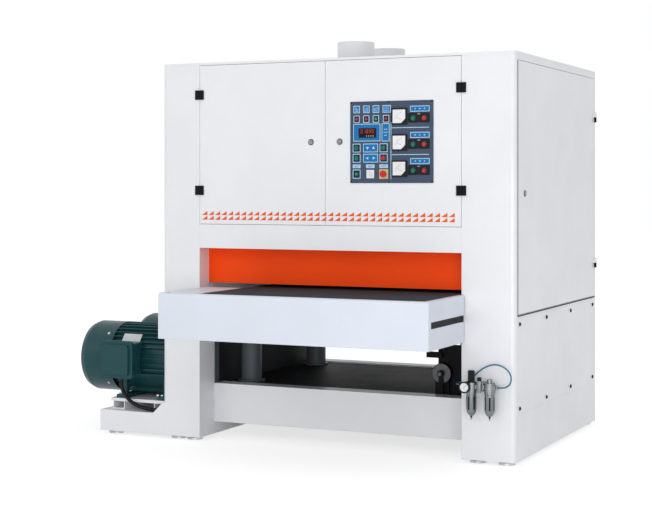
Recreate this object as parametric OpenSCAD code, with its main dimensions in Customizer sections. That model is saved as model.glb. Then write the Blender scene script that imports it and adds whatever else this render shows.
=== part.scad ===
// Wide-belt planer sander with two sanding heads over a lifting feed table.
// Written from the cabinet's front left corner at floor level: X runs right,
// Y runs back and Z runs up. place() then puts the origin under the middle.

/* [Cabinet] */
// Width of the cabinet across both columns
cab_w = 2150; // [2100:10:2250]
// Depth of the cabinet from front to back
cab_d = 1630; // [1600:10:1700]
// Height of the cabinet's roof above the floor
cab_h = 2185; // [2150:5:2300]
// Width of the drive column on the left
left_col_w = 248; // [240:2:260]
// Width of the service column on the right
right_col_w = 300; // [280:5:310]
// Thickness of the folded sheet walls
sheet = 6; // [4:1:8]
// Radius of the cabinet's outer upright edges
edge_r = 28; // [15:1:35]
// Thickness of the roof plate
roof_t = 14; // [10:1:20]
// Height of the levelling feet under the columns
foot_h = 20; // [15:1:30]

/* [Doors] */
// Height of the front doors' lower edge
door_bottom = 1257; // [1240:1:1275]
// Depth of a folded door
door_t = 24; // [20:1:28]
// Gap round each door
door_gap = 2; // [1.5:0.5:3]
// Height and width of a square front hinge
hinge_size = 54; // [44:1:60]
// Height of the lower hinges' middle above the doors' lower edge
hinge_rise = 193; // [160:1:220]
// Depth of the upper hinges' middle below the doors' upper edge
hinge_drop = 169; // [140:1:200]
// Height of the front locks above the doors' middle
lock_lift = 7; // [0:1:40]
// Distance of a front lock from the meeting edge
lock_inset = 88; // [80:1:95]
// Front edge of the side door
side_y0 = 42; // [40:1:60]
// Distance of the side door's back edge from the cabinet's back
side_back = 52; // [48:1:70]
// Lower edge of the side door
side_z0 = 796; // [780:1:820]

/* [Throat] */
// Lower edge of the front crossing panel
cross_bottom = 1118; // [1100:1:1130]
// Distance of the orange guard behind the front
guard_y = 110; // [100:1:120]
// Lower edge of the orange guard
guard_bottom = 913; // [908:1:925]

/* [Feed table] */
// Height of the conveyor's working face
table_top = 895; // [880:1:896]
// Height of the apron round the table's ends
apron_h = 250; // [240:1:260]
// Reach of the table in front of the cabinet
table_out = 534; // [500:1:560]
// Reach of the table behind the cabinet
table_back = 240; // [200:1:300]
// Distance of the apron's left side from the left column
apron_in = 47; // [37:1:57]
// Reach of the apron past the right column's inner side
apron_past = 18; // [12:1:22]
// Radius of the apron's rounded nose
nose_r = 18; // [12:1:22]
// Width of the conveyor belt
feed_w = 1300; // [1280:5:1305]
// Thickness of the conveyor belt
feed_t = 4; // [3:0.5:5]
// Radius of the conveyor's end rollers
feed_r = 70; // [60:1:75]
// Travel of the table downwards
lift_stroke = 150; // [100:1:155]

/* [Sanding heads] */
// Distance of the first head behind the front
head_y = 600; // [580:1:620]
// Distance between the two heads
head_pitch = 485; // [460:1:500]
// Radius of a contact drum
drum_r = 118; // [110:1:122]
// Radius of an upper tension roller
tension_r = 58; // [50:1:64]
// Distance of the tension rollers' axes below the roof
head_room = 360; // [346:1:380]
// Width of a sanding belt
sand_w = 1310; // [1290:5:1312]

/* [Motors] */
// Height of the motor shafts above the floor
motor_z = 438; // [432:1:450]
// Distance of the first motor behind the front
motor_y = 250; // [246:1:260]
// Distance between the two motors
motor_pitch = 600; // [580:1:620]
// Radius of a motor across its fins
motor_r = 210; // [190:1:212]
// Reach of the motors left of the cabinet
motor_out = 620; // [600:1:640]
// Number of cooling fins round a motor
fin_count = 40; // [24:2:48]
// Reach of the plinth left of the cabinet
plinth_out = 432; // [420:1:450]
// Height of the plinth's top
plinth_h = 144; // [135:1:150]

/* [Base] */
// Distance of the lower beams behind the front
beam_y = 174; // [160:1:190]
// Lower edge of the lower beams
beam_z0 = 91; // [80:1:100]
// Upper edge of the lower beams
beam_z1 = 317; // [310:1:325]

/* [Dust outlets] */
// Outer radius of a dust outlet
duct_r = 110; // [90:1:115]
// Height of a dust outlet above the roof
duct_h = 140; // [100:1:160]
// Distance of the dust outlets left of the cabinet's middle
duct_in = 104; // [75:1:135]

/* [Control panel] */
// Distance of the control panel from the doors' meeting edge
panel_in = 154; // [131:1:166]
// Height of the control panel's middle above the doors' middle
panel_lift = 1.5; // [-10:0.5:10]
// Width of the control panel
panel_w = 488; // [480:1:500]
// Height of the control panel
panel_h = 447; // [440:1:460]
// Radius of a push button's cap
button_r = 11; // [9:0.5:12]
// Travel of a push button
button_stroke = 3; // [2:0.5:4]

/* [Air unit] */
// Distance of the regulator from the cabinet's right side
reg_in = 224; // [210:1:230]
// Distance between the regulator and the lubricator
air_pitch = 101; // [96:1:105]
// Height of the air unit's body
air_z = 420; // [410:1:430]
// Distance of the air unit's axis in front of the cabinet
air_y = 60; // [58:1:70]

/* [Hidden] */
$fn = 64;
// Overrun of every cut past the face it goes through
over = 1;
// Gap between bodies that pass each other
gap = 0.3;
// Radial clearance of a shaft or pin that turns in its hole
running = 0.05;
// Number of flats that carry a belt round each of its wheels
belt_steps = 60;

// Extent of the whole machine, which sets the origin under its middle
x_min = -motor_out;
side_knuckle_r = 7;
x_max = cab_w + 2 * side_knuckle_r + gap;
y_min = -table_out;
y_max = cab_d + table_back;
x_mid = (x_min + x_max) / 2;
y_mid = (y_min + y_max) / 2;

// Throat between the two columns
throat_x0 = left_col_w;
throat_x1 = cab_w - right_col_w;
body_top = cab_h - roof_t;
col_h = body_top - foot_h;

base_t = 10;
window_end = 200;
window_foot = 30;
window_head = 92;

// Doors
skin = 3;
seam_x = (throat_x0 + throat_x1) / 2;
door_top = body_top - door_gap;
door_mid = (door_bottom + door_top) / 2;
hinge_low = door_bottom + hinge_rise;
hinge_high = door_top - hinge_drop;
lock_z = door_mid + lock_lift;
lock_proud = 6;
post_w = 60;
post_t = 34;
post_lip = 4;
post_web = 8;
guard_fold = 40;
guard_front = 6;
frame_y = door_t + door_gap;
hinge_leaf_t = 8;
hinge_pin_r = 3;
hinge_r = 6;
hinge_half = hinge_size / 2;
hinge_y = -hinge_r - gap;
lock_r = 13;
lock_barrel_r = 9;
cam_l = 70;
cam_w = 16;
cam_t = 3;
lock_slot_w = 2;
cam_y = frame_y + post_lip + door_gap;
side_y1 = cab_d - side_back;
side_head = 32;
side_z1 = body_top - side_head;
side_lock_in = 119;
side_lock_rise = 639;
side_lock_y = side_y0 + side_lock_in;
side_lock_z = side_z0 + side_lock_rise;
side_cam_l = 125;
strike_w = 19;
strike_h = 60;
side_pin_r = 4;
side_knuckle_h = 60;
side_leaf_w = 14;
side_pin_x = cab_w + side_knuckle_r + gap;
side_pin_y = side_y1 + door_gap + side_knuckle_r;
side_hinge_rise = 204;
side_hinge_drop = 239;
side_hinge_low = side_z0 + side_hinge_rise;
side_hinge_high = side_z1 - side_hinge_drop;

// Side cover below the side door
cover_in = 4;
cover_back = 70;
cover_rise = 250;
cover_drop = 21;
cover_y0 = edge_r + cover_in;
cover_y1 = cab_d - cover_back;
cover_z0 = foot_h + cover_rise;
cover_z1 = side_z0 - cover_drop;
cover_t = 2;
cover_screw_r = 5;
cover_screw_t = 2;
cover_screw_inset = 30;
cover_screws = 4;

// Plinth under the motors
plinth_past = 260;
plinth_d = motor_y + motor_pitch + plinth_past;
plinth_chamfer = 66;
window_y0 = 20;
window_z1 = 700;

// Feed table
table_gap = 10;
table_ends = [[-table_out + nose_r, -table_gap], [cab_d + table_gap, cab_d + table_back - nose_r]];
nose_steps = 8;
apron_t = 4;
apron_z0 = table_top - apron_h;
apron_x0 = throat_x0 + apron_in;
apron_x1 = throat_x1 + apron_past;
belt_in = 14;
belt_x1 = throat_x1 - belt_in;
belt_x0 = belt_x1 - feed_w;
rail_t = 6;
rail_gap = 3;
roller_z = table_top - feed_t - gap - feed_r;
roller_lead = 92;
front_roller_y = -table_out + roller_lead;
rear_roller_y = cab_d + table_back - roller_lead;
feed_axle_r = 17;
rail_h = 70;
bed_t = 12;
bed_ribs = 7;
saddle_d = 90;
saddle_h = 34;
saddle_z1 = roller_z - feed_r - feed_t - rail_gap;
saddle_z0 = saddle_z1 - saddle_h;
slot_z0 = 753;
slot_h = 36;
slot_end = 34;

// Base deck and lifting columns
beam_d = 110;
beam_wall = 8;
rear_beam_in = 60;
beam_ys = [beam_y, cab_d - rear_beam_in - beam_d];
deck_t = 8;
deck_drop = 9;
deck_z1 = beam_z1 - deck_drop;
lift_x = 112;
lift_y0 = 430;
lift_back = 293;
lift_r = 62;
piston_r = 48;
lift_flange_r = 80;
lift_flange_t = 12;
lift_top = saddle_z0 - lift_stroke - lift_flange_t;
piston_rest = 4;
piston_bottom = deck_z1 + lift_flange_t + lift_stroke + piston_rest;
gear_in = 230;
gear_x = throat_x1 - gear_in;
gear_y = 320;
gear_z = 430;
gear_w = 80;
gear_r = 56;
gear_t = 12;
gear_motor_l = 150;
gear_motor_r = 45;
gear_guard_y = 20;
gear_guard_t = 8;
gear_guard_in = 30;
gear_guard_gap = 8;
gear_guard_top = roller_z - feed_r - feed_t - lift_stroke - gear_guard_gap;
gear_arm_l = 60;
gear_arm_z = 515;
gear_arm_h = 30;
gear_crank_w = 26;
lift_xs = [throat_x0 + lift_x, throat_x1 - lift_x];
lift_ys = [lift_y0, cab_d - lift_back];

// Dust outlets
flange_w = 22;
duct_x = cab_w / 2 - duct_in;

// Sanding heads
belt_t = 1.6;
sand_gap = 10;
drum_z = table_top + sand_gap + belt_t + gap + drum_r;
tension_z = cab_h - head_room;
head_c = tension_z - drum_z;
sand_x0 = belt_x1 - sand_w;
shaft_r = 30;
pulley_w = 90;
pulley_in = 120;
pulley_x = left_col_w - pulley_in;
drum_pulley_r = 95;
motor_pulley_r = 110;
head_plate_t = 24;
drum_wall = 24;
drum_recess = 20;
head_side = 34;
head_end_gap = 2;
head_plate_x = sand_x0 - head_side;
head_end_x = belt_x1 + head_end_gap;
head_beam_d = 100;
pillar_w = 60;
shaft_end = 2;
head_beam_h = 120;
head_beam_rise = 70;
head_beam_z = drum_z + drum_r + head_beam_rise;
head_beam_top = head_beam_z + head_beam_h;
yoke_h = 60;
yoke_share = 0.24;
yoke_z = head_beam_top + yoke_share * (tension_z - tension_r - yoke_h - head_beam_top);
yoke_d = 70;
yoke_cyl_r = 34;
tension_axle_r = 15;
head_ys = [head_y, head_y + head_pitch];

// Motors
motor_ys = [motor_y, motor_y + motor_pitch];
fan_l = 223;
motor_end = 105;
fin_h = 22;
fin_t = 5;
// Fins stop short of the feet, whose webs lie between these angles from straight down
foot_angle0 = 30;
foot_angle1 = 62;
fin_angles = [
    for (k = [0:fin_count - 1]) let (a = 360 / fin_count * (k + 0.5), foot = abs(a - 270))
        if (foot < foot_angle0 || foot > foot_angle1) a
];
shield_l = 40;
motor_shaft_r = 28;
motor_foot_w = 440;
motor_foot_t = 22;
motor_centre = 225;
foot_rib_t = 30;
foot_len = 60;
tbox_w = 226;
tbox_h = 220;
tbox_t = 150;
tbox_lid_t = 14;
tbox_pad_t = 16;
tbox_pad_in = 22;
tbox_pad_r = 18;
plate_t = 18;
plate_rail_w = 80;
plate_rail_t = 6;
grille_hole_r = 9;
cowl_t = 5;
cowl_round = 45;
cowl_share = 0.29;
grille_rings = 4;
grille_step = 6;
grille_pitch = 34;
fan_blades = 8;
fan_share = 0.8;
rib_share = 0.66;
tbox_lead = 6;
tbox_rise = 16;
tbox_sink = 60;
gland_r = 17;
gland_l = 26;
belt_side = 8;
vbelt_t = 9;

// Panel faces and buttons, as shares of the panel's width and height
panel_x = seam_x + panel_in;
panel_z = door_mid + panel_lift - panel_h / 2;
plate_y = 4;
window_rim = 12;
column_shares = [0.079, 0.197, 0.315, 0.438];
jog_x_share = 0.408;
key_x_share = 0.246;
lamp_row_share = 0.784;
raise_row_share = 0.430;
feed_row_share = 0.305;
stop_row_share = 0.110;
meter_x_share = 0.600;
twin_x_shares = [0.764, 0.895];
twin_row_shares = [0.783, 0.466, 0.150];
meter_row_shares = [0.809, 0.492, 0.175];
button_cap = 6;
button_stem_r = 8;
button_stem_l = 26;
bezel_r = 14;
bezel_t = 2;
bezel_gap = 0.5;
meter_size = 90;
meter_t = 9;
meter_can_r = 30;
meter_can_l = 45;
stop_r = 18;
lamp_r = 8;
lamp_t = 4;

// Air unit
reg_x = cab_w - reg_in;
air_body_w = 66;
air_body_h = 44;
air_body_r = 29;
bowl_r = 27;
bowl_h = 110;
bowl_tip = 20;
knob_r = 19;
knob_h = 62;
spindle_r = 6;
spindle_l = 14;
gauge_r = 31;
gauge_t = 16;
gauge_x = 20;
dome_r = 14;
dome_h = 19;
drain_r = 4;
drain_h = 24;
gauge_stem_r = 6;
port_r = 8;
port_l = 17;
bulkhead_l = 14;
port_y = 104;
port_z = 421;
hose_start_x = reg_x + air_pitch + air_body_w / 2 + port_l;

// Levelling feet
foot_r = 45;
foot_pad = 12;
foot_stud_r = 12;
foot_inset = 70;
foot_places = [
    for (x = [foot_inset, left_col_w - foot_inset, throat_x1 + foot_inset, cab_w - foot_inset],
        y = [foot_inset, cab_d - foot_inset]) [x, y],
    for (y = [foot_inset, plinth_d - foot_inset]) [foot_inset - plinth_out, y]
];

// Routes of the air hose and the motor cables, chosen by hand
hose_r = 4;
hose_sides = 8;
hose_route = [
    [2077, -60, 420], [2092, -60, 420], [2108, -60, 422], [2124, -60, 429],
    [2137, -60, 442], [2144, -60, 460], [2144, -60, 480], [2137, -60, 499],
    [2124, -60, 515], [2106, -58, 527], [2085, -54, 535], [2060, -48, 538],
    [2034, -42, 535], [2008, -36, 527], [1984, -30, 515], [1962, -26, 500],
    [1942, -24, 483], [1924, -24, 465], [1907, -26, 449], [1889, -28, 436],
    [1870, -27, 428], [1852, -24, 424], [1834, -16, 422], [1822, 0, 421],
    [1816, 20, 421], [1814, 42, 421], [1814, 66, 421], [1814, 82, 421],
    [1817, 93, 421], [1824, 101, 421], [1832, 104, 421], [1836, 104, 421]
];
cable_r = 11;
cable_sides = 8;
cable_route = [
    [-278, -13, 332], [-278, -13, 318], [-277, -13, 300], [-273, -12, 281], [-266, -11, 262],
    [-255, -9, 243], [-242, -6, 225], [-225, -2, 208], [-205, 3, 193], [-182, 9, 180],
    [-157, 16, 170], [-130, 23, 163], [-102, 29, 158], [-73, 34, 156], [-43, 37, 156],
    [-13, 39, 156], [17, 42, 157], [49, 45, 158], [82, 48, 160], [115, 51, 162],
    [148, 53, 163], [182, 55, 164], [215, 56, 164], [242, 56, 164]
];
rear_cable_route = [for (p = cable_route) [p[0], p[1] + motor_pitch, p[2]]];

// Moves a piece from the cabinet's corner to the machine's origin
module place() translate([-x_mid, -y_mid, 0]) children();

// A block between two corners
module block(x0, x1, y0, y1, z0, z1)
    translate([x0, y0, z0]) cube([x1 - x0, y1 - y0, z1 - z0]);

// Round bars along each axis
module rod_x(x0, x1, y, z, r) translate([x0, y, z]) rotate([0, 90, 0]) cylinder(h = x1 - x0, r = r);
module rod_y(y0, y1, x, z, r) translate([x, y1, z]) rotate([90, 0, 0]) cylinder(h = y1 - y0, r = r);
module rod_z(z0, z1, x, y, r) translate([x, y, z0]) cylinder(h = z1 - z0, r = r);

// An outline in Y and Z drawn out along X
module along_x(x0, l) translate([x0, 0, 0]) rotate([90, 0, 90]) linear_extrude(l) children();
// A solid drawn up from an outline in Y and Z, laid along X from the point given
module stand_x(x, y, z) translate([x, y, z]) rotate([90, 0, 90]) children();
// An outline in X and Z drawn out along Y
module along_y(y0, l) translate([0, y0 + l, 0]) rotate([90, 0, 0]) linear_extrude(l) children();

// A rectangle whose two corners on the left are round
module round_side(w, d, r) {
    translate([r, 0]) square([w - r, d]);
    translate([0, r]) square([w, d - 2 * r]);
    translate([r, r]) circle(r);
    translate([r, d - r]) circle(r);
}

// A rectangle with four round corners
module round_rect(w, d, r) {
    translate([r, 0]) square([w - 2 * r, d]);
    translate([0, r]) square([w, d - 2 * r]);
    for (x = [r, w - r], y = [r, d - r]) translate([x, y]) circle(r);
}

// Outline of a belt round two wheels, r0 at the origin and r1 at distance c along X
function loop(r0, r1, c) = let (tilt = acos((r0 - r1) / c)) [
    for (k = [0:belt_steps]) let (a = tilt + (360 - 2 * tilt) * k / belt_steps) r0 * [cos(a), sin(a)],
    for (k = [0:belt_steps]) let (a = tilt * (2 * k / belt_steps - 1)) [c + r1 * cos(a), r1 * sin(a)]
];

// A closed belt of thickness t and width l, whose inner face clears both wheels
module band(l, r0, r1, c, angle, t) linear_extrude(l) rotate(angle) difference() {
    polygon(loop(r0 + gap + t, r1 + gap + t, c));
    polygon(loop(r0 + gap, r1 + gap, c));
}

// Tube swept along a list of points
function unit(v) = v / norm(v);
function heading(p, i) = unit(p[min(i + 1, len(p) - 1)] - p[max(i - 1, 0)]);
function across(t) = unit(cross(t, abs(t[1]) > 0.9 ? [1, 0, 0] : [0, 1, 0]));
function ring(p, i, r, n) =
    let (t = heading(p, i), a = across(t), b = cross(t, a))
    [for (k = [0:n - 1]) p[i] + r * (a * cos(360 * k / n) + b * sin(360 * k / n))];
module tube(p, r, n) {
    rings = len(p);
    points = [for (i = [0:rings - 1]) each ring(p, i, r, n)];
    sides = [
        for (i = [0:rings - 2], k = [0:n - 1])
            let (a = i * n + k, b = i * n + (k + 1) % n)
            each [[a, a + n, b + n], [a, b + n, b]]
    ];
    ends = [
        for (k = [1:n - 2]) each [
            [0, k, k + 1],
            [(rings - 1) * n, (rings - 1) * n + k + 1, (rings - 1) * n + k]
        ]
    ];
    polyhedron(points = points, faces = concat(sides, ends));
}

// Cabinet
module shell(w) difference() {
    translate([0, 0, foot_h]) linear_extrude(col_h) round_side(w, cab_d, edge_r);
    hollow(w);
}
module hollow(w) translate([sheet, sheet, foot_h + base_t]) linear_extrude(col_h)
    round_side(w - 2 * sheet, cab_d - 2 * sheet, edge_r - sheet);

module left_column() color("whitesmoke") place() difference() {
    union() {
        shell(left_col_w);
        along_y(0, sheet) polygon([
            [-plinth_out, foot_h], [0, foot_h], [edge_r, foot_h], [edge_r, plinth_h + plinth_chamfer],
            [0, plinth_h + plinth_chamfer], [-plinth_chamfer, plinth_h], [-plinth_out, plinth_h]
        ]);
        block(-plinth_out, edge_r, 0, plinth_d, foot_h, plinth_h);
    }
    hollow(left_col_w);
    block(-plinth_out + sheet, -sheet, sheet, plinth_d - sheet, foot_h + base_t, plinth_h - sheet);
    block(-over, sheet + over, window_y0, plinth_d - window_y0, plinth_h, window_z1);
    for (y = head_ys) rod_x(left_col_w - sheet - over, left_col_w + over, y, drum_z, shaft_r + door_gap);
}

module right_column() color("whitesmoke") place() {
    difference() {
        translate([cab_w, 0, 0]) mirror([1, 0, 0]) shell(right_col_w);
        block(cab_w - edge_r, cab_w + over, side_y0 - door_gap, side_y1 + door_gap,
            side_z0 - door_gap, side_z1 + door_gap);
        block(throat_x1 - over, throat_x1 + sheet + over, window_end, cab_d - window_end,
            table_top + window_foot, body_top - window_head);
    }
    block(cab_w - sheet - strike_w, cab_w - sheet, edge_r, side_y0 - door_gap - gap,
        side_lock_z - strike_h / 2, side_lock_z + strike_h / 2);
}

module roof() color("whitesmoke") place() difference() {
    union() {
        translate([0, 0, body_top]) linear_extrude(roof_t) round_rect(cab_w, cab_d, edge_r);
        for (y = head_ys) {
            rod_z(cab_h, cab_h + duct_h, duct_x, y, duct_r);
            rod_z(cab_h, cab_h + sheet, duct_x, y, duct_r + flange_w);
        }
    }
    for (y = head_ys) rod_z(body_top - over, cab_h + duct_h + over, duct_x, y, duct_r - skin);
}

module rear_panel() color("whitesmoke") place() {
    difference() {
        block(throat_x0, throat_x1, cab_d - door_t, cab_d, cross_bottom, body_top);
        block(throat_x0 + sheet, throat_x1 - sheet, cab_d - door_t - over, cab_d - skin,
            cross_bottom + sheet, body_top - sheet);
    }
    block(throat_x0, throat_x1, cab_d - door_t, cab_d - door_t + skin, guard_bottom, cross_bottom);
}

module front_frame() color("whitesmoke") place() {
    difference() {
        block(throat_x0, throat_x1, 0, door_t * 2, cross_bottom, door_bottom - door_gap);
        block(throat_x0 + sheet, throat_x1 - sheet, skin, door_t * 2 + over, cross_bottom + skin,
            door_bottom - door_gap - skin);
    }
    difference() {
        block(seam_x - post_w / 2, seam_x + post_w / 2, frame_y, frame_y + post_t,
            door_bottom - door_gap - skin, body_top);
        block(seam_x - post_w / 2 - over, seam_x - post_web, frame_y + post_lip, frame_y + post_t + over,
            door_bottom - over, body_top + over);
        block(seam_x + post_web, seam_x + post_w / 2 + over, frame_y + post_lip, frame_y + post_t + over,
            door_bottom - over, body_top + over);
    }
}

module throat_guard() color("orangered") place() {
    block(throat_x0, throat_x1, guard_y, guard_y + skin, guard_bottom, cross_bottom);
    block(throat_x0, throat_x1, guard_y, guard_y + guard_fold, guard_bottom, guard_bottom + skin);
    block(throat_x0, throat_x1, guard_front, guard_y + guard_fold, cross_bottom - skin, cross_bottom);
}

module lower_beams() color("whitesmoke") place()
    for (y = beam_ys) difference() {
        block(throat_x0, throat_x1, y, y + beam_d, beam_z0, beam_z1);
        block(throat_x0 - over, throat_x1 + over, y + beam_wall, y + beam_d - beam_wall,
            beam_z0 + beam_wall, beam_z1 - beam_wall);
    }

module base_deck() color("dimgray") place()
    block(throat_x0, throat_x1, beam_ys[0] + beam_d, beam_ys[1], deck_z1 - deck_t, deck_z1);

module levelling_feet() color("silver") place()
    for (p = foot_places) {
        rod_z(0, foot_pad, p[0], p[1], foot_r);
        rod_z(foot_pad, foot_h, p[0], p[1], foot_stud_r);
    }

module side_cover() color("whitesmoke") place() {
    block(cab_w, cab_w + cover_t, cover_y0, cover_y1, cover_z0, cover_z1);
    for (k = [0:cover_screws - 1], z = [cover_z0 + cover_screw_inset, cover_z1 - cover_screw_inset]) {
        y = cover_y0 + cover_screw_inset
            + (cover_y1 - cover_y0 - 2 * cover_screw_inset) * k / (cover_screws - 1);
        rod_x(cab_w + cover_t, cab_w + cover_t + cover_screw_t, y, z, cover_screw_r);
    }
}

// Sanding heads
module head_frames() color("lightsteelblue") place()
    for (y = head_ys) difference() {
        union() {
            block(throat_x0, head_end_x + head_plate_t, y - head_beam_d / 2, y + head_beam_d / 2,
                head_beam_z, head_beam_z + head_beam_h);
            for (x = [head_plate_x, head_end_x])
                block(x, x + head_plate_t, y - head_beam_d / 2, y + head_beam_d / 2,
                    drum_z - head_beam_d / 2, head_beam_z);
            block(head_end_x + head_plate_t, head_end_x + head_plate_t + pillar_w, y - head_beam_d / 2,
                y + head_beam_d / 2, foot_h + base_t, head_beam_z + head_beam_h);
        }
        rod_x(head_plate_x - over, head_end_x + head_plate_t, y, drum_z, shaft_r + running);
        rod_z(head_beam_z - over, head_beam_z + head_beam_h + over, (sand_x0 + belt_x1) / 2, y,
            yoke_cyl_r + running);
    }

module sanding_belts() color("saddlebrown") place()
    for (y = head_ys) stand_x(sand_x0, y, drum_z) band(sand_w, drum_r, tension_r, head_c, 90, belt_t);

module drum(y) {
    difference() {
        rod_x(sand_x0, belt_x1, y, drum_z, drum_r);
        rod_x(sand_x0 - over, sand_x0 + drum_recess, y, drum_z, drum_r - drum_wall);
        rod_x(sand_x0 + drum_recess + drum_wall, belt_x1 - drum_recess - drum_wall, y, drum_z,
            drum_r - drum_wall);
        rod_x(belt_x1 - drum_recess, belt_x1 + over, y, drum_z, drum_r - drum_wall);
    }
    rod_x(pulley_x, head_end_x + head_plate_t - shaft_end, y, drum_z, shaft_r);
    rod_x(pulley_x, pulley_x + pulley_w, y, drum_z, drum_pulley_r);
}
module front_drum() color("dimgray") place() drum(head_ys[0]);
module rear_drum() color("dimgray") place() drum(head_ys[1]);

module yoke(y) {
    mid = (sand_x0 + belt_x1) / 2;
    difference() {
        union() {
            block(head_plate_x, head_end_x + head_plate_t, y - yoke_d / 2, y + yoke_d / 2,
                yoke_z, yoke_z + yoke_h);
            for (x = [head_plate_x, head_end_x])
                block(x, x + head_plate_t, y - yoke_d / 2, y + yoke_d / 2, yoke_z, tension_z + yoke_d / 2);
        }
        rod_x(head_plate_x - over, head_end_x + head_plate_t + over, y, tension_z, tension_axle_r + running);
    }
    rod_z(head_beam_z, yoke_z, mid, y, yoke_cyl_r);
}
module front_yoke() color("lightsteelblue") place() yoke(head_ys[0]);
module rear_yoke() color("lightsteelblue") place() yoke(head_ys[1]);

module tension_roller(y) {
    rod_x(sand_x0, belt_x1, y, tension_z, tension_r);
    rod_x(head_plate_x, head_end_x + head_plate_t, y, tension_z, tension_axle_r);
}
module front_tension_roller() color("silver") place() tension_roller(head_ys[0]);
module rear_tension_roller() color("silver") place() tension_roller(head_ys[1]);

// Motors
module motor_housing(x0, y) difference() {
    x1 = motor_end;
    fin_x0 = x0 + fan_l;
    union() {
        stand_x(fin_x0, y, motor_z) linear_extrude(x1 - shield_l - fin_x0) {
            circle(motor_r - fin_h);
            for (a = fin_angles) rotate(a) translate([motor_r / 2, -fin_t / 2]) square([motor_r / 2, fin_t]);
        }
        rod_x(x1 - shield_l, x1, y, motor_z, motor_r - fin_h / 2);
        for (x = [fin_x0 + foot_len, x1 - shield_l - foot_len * 2]) {
            block(x, x + foot_rib_t * 2, y - motor_foot_w / 2, y + motor_foot_w / 2,
                motor_z - motor_centre, motor_z - motor_centre + motor_foot_t);
            for (s = [-1, 1]) block(x, x + foot_rib_t, y + s * motor_r * rib_share - foot_rib_t / 2,
                y + s * motor_r * rib_share + foot_rib_t / 2, motor_z - motor_centre, motor_z - motor_r / 2);
        }
    }
    rod_x(fin_x0 - over, x1 + over, y, motor_z, motor_shaft_r + running);
}
module motor_housings() color("darkslategray") place()
    for (i = [0, 1]) motor_housing(-motor_out, motor_ys[i]);

module fan_covers() color("darkslategray") place()
    for (i = [0, 1]) translate([-motor_out, motor_ys[i], motor_z]) rotate([0, 90, 0]) difference() {
        rotate_extrude($fn = 96) polygon([
            [0, 0], [motor_r - cowl_round, 0], [motor_r - cowl_round * cowl_share, cowl_round * cowl_share],
            [motor_r, cowl_round], [motor_r, fan_l], [motor_r - cowl_t, fan_l],
            [motor_r - cowl_t, cowl_round], [motor_r - cowl_round, cowl_t], [0, cowl_t]
        ]);
        for (ring = [1:grille_rings], k = [0:ring * grille_step - 1])
            rotate(360 / (ring * grille_step) * k) translate([ring * grille_pitch, 0, -over])
                cylinder(h = cowl_t + 2 * over, r = grille_hole_r);
    }

module terminal_boxes() color("darkslategray") place()
    for (i = [0, 1]) {
        x = -motor_out + fan_l + tbox_lead;
        y = motor_ys[i] - motor_r + fin_h;
        z = motor_z - tbox_h / 2 + tbox_rise;
        flange_y = y - tbox_t + tbox_pad_t;
        difference() {
            union() {
                along_y(y - tbox_t, tbox_pad_t) translate([x + tbox_pad_in, z + tbox_pad_in])
                    round_rect(tbox_w - 2 * tbox_pad_in, tbox_h - 2 * tbox_pad_in, tbox_pad_r);
                along_y(flange_y, tbox_lid_t) translate([x, z]) round_rect(tbox_w, tbox_h, tbox_lid_t);
                along_y(flange_y + tbox_lid_t, tbox_t - tbox_pad_t - tbox_lid_t + tbox_sink)
                    translate([x + tbox_lid_t, z + tbox_lid_t])
                    round_rect(tbox_w - 2 * tbox_lid_t, tbox_h - 2 * tbox_lid_t, tbox_lid_t);
            }
            rod_x(x - over, x + tbox_w + over, motor_ys[i], motor_z, motor_r + gap);
        }
        rod_z(z - gland_l + tbox_lid_t, z + tbox_lid_t, x + tbox_w / 2, y - tbox_t / 2, gland_r);
    }

module motor_plates() color("whitesmoke") place()
    for (i = [0, 1]) {
        x0 = -motor_out + fan_l;
        x1 = motor_end;
        y = motor_ys[i];
        block(x0 + fin_h, x1 - shield_l - fin_h, y - motor_foot_w / 2, y + motor_foot_w / 2,
            motor_z - motor_centre - plate_t, motor_z - motor_centre);
        for (x = [x0 + fin_h, -plate_rail_w - sheet * 2]) difference() {
            block(x, x + plate_rail_w, y - motor_foot_w / 2 + fin_h, y + motor_foot_w / 2 - fin_h,
                plinth_h, motor_z - motor_centre - plate_t);
            block(x + plate_rail_t, x + plate_rail_w - plate_rail_t, y - motor_foot_w / 2,
                y + motor_foot_w / 2, plinth_h + plate_rail_t, motor_z - motor_centre - plate_t - plate_rail_t);
        }
    }

module drive_belts() color("#222222") place()
    for (i = [0, 1]) {
        dy = head_ys[i] - motor_ys[i];
        dz = drum_z - motor_z;
        stand_x(pulley_x + belt_side, motor_ys[i], motor_z) band(pulley_w - 2 * belt_side, motor_pulley_r,
            drum_pulley_r, norm([dy, dz]), atan2(dz, dy), vbelt_t);
    }

module rotor(i) {
    rod_x(-motor_out + fan_l / 3, pulley_x + pulley_w, motor_ys[i], motor_z, motor_shaft_r);
    rod_x(pulley_x, pulley_x + pulley_w, motor_ys[i], motor_z, motor_pulley_r);
    for (k = [0:fan_blades - 1]) translate([0, motor_ys[i], motor_z]) rotate([360 / fan_blades * k, 0, 0])
        block(-motor_out + fan_l / 3, -motor_out + fan_l * 2 / 3,
            motor_shaft_r / 2, motor_r * fan_share, 0, cowl_t);
}
module front_rotor() color("silver") place() rotor(0);
module rear_rotor() color("silver") place() rotor(1);

// Doors and hinges
module folded_door(x0, x1, z0, z1) difference() {
    block(x0, x1, 0, door_t, z0, z1);
    block(x0 + skin, x1 - skin, skin, door_t + over, z0 + skin, z1 - skin);
}
module lock_hole(x, z) rod_y(-over, cam_y + over, x, z, lock_barrel_r + running);

module left_door() color("whitesmoke") place() difference() {
    folded_door(throat_x0 + door_gap, seam_x - door_gap / 2, door_bottom, door_top);
    lock_hole(seam_x - lock_inset, lock_z);
}

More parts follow.
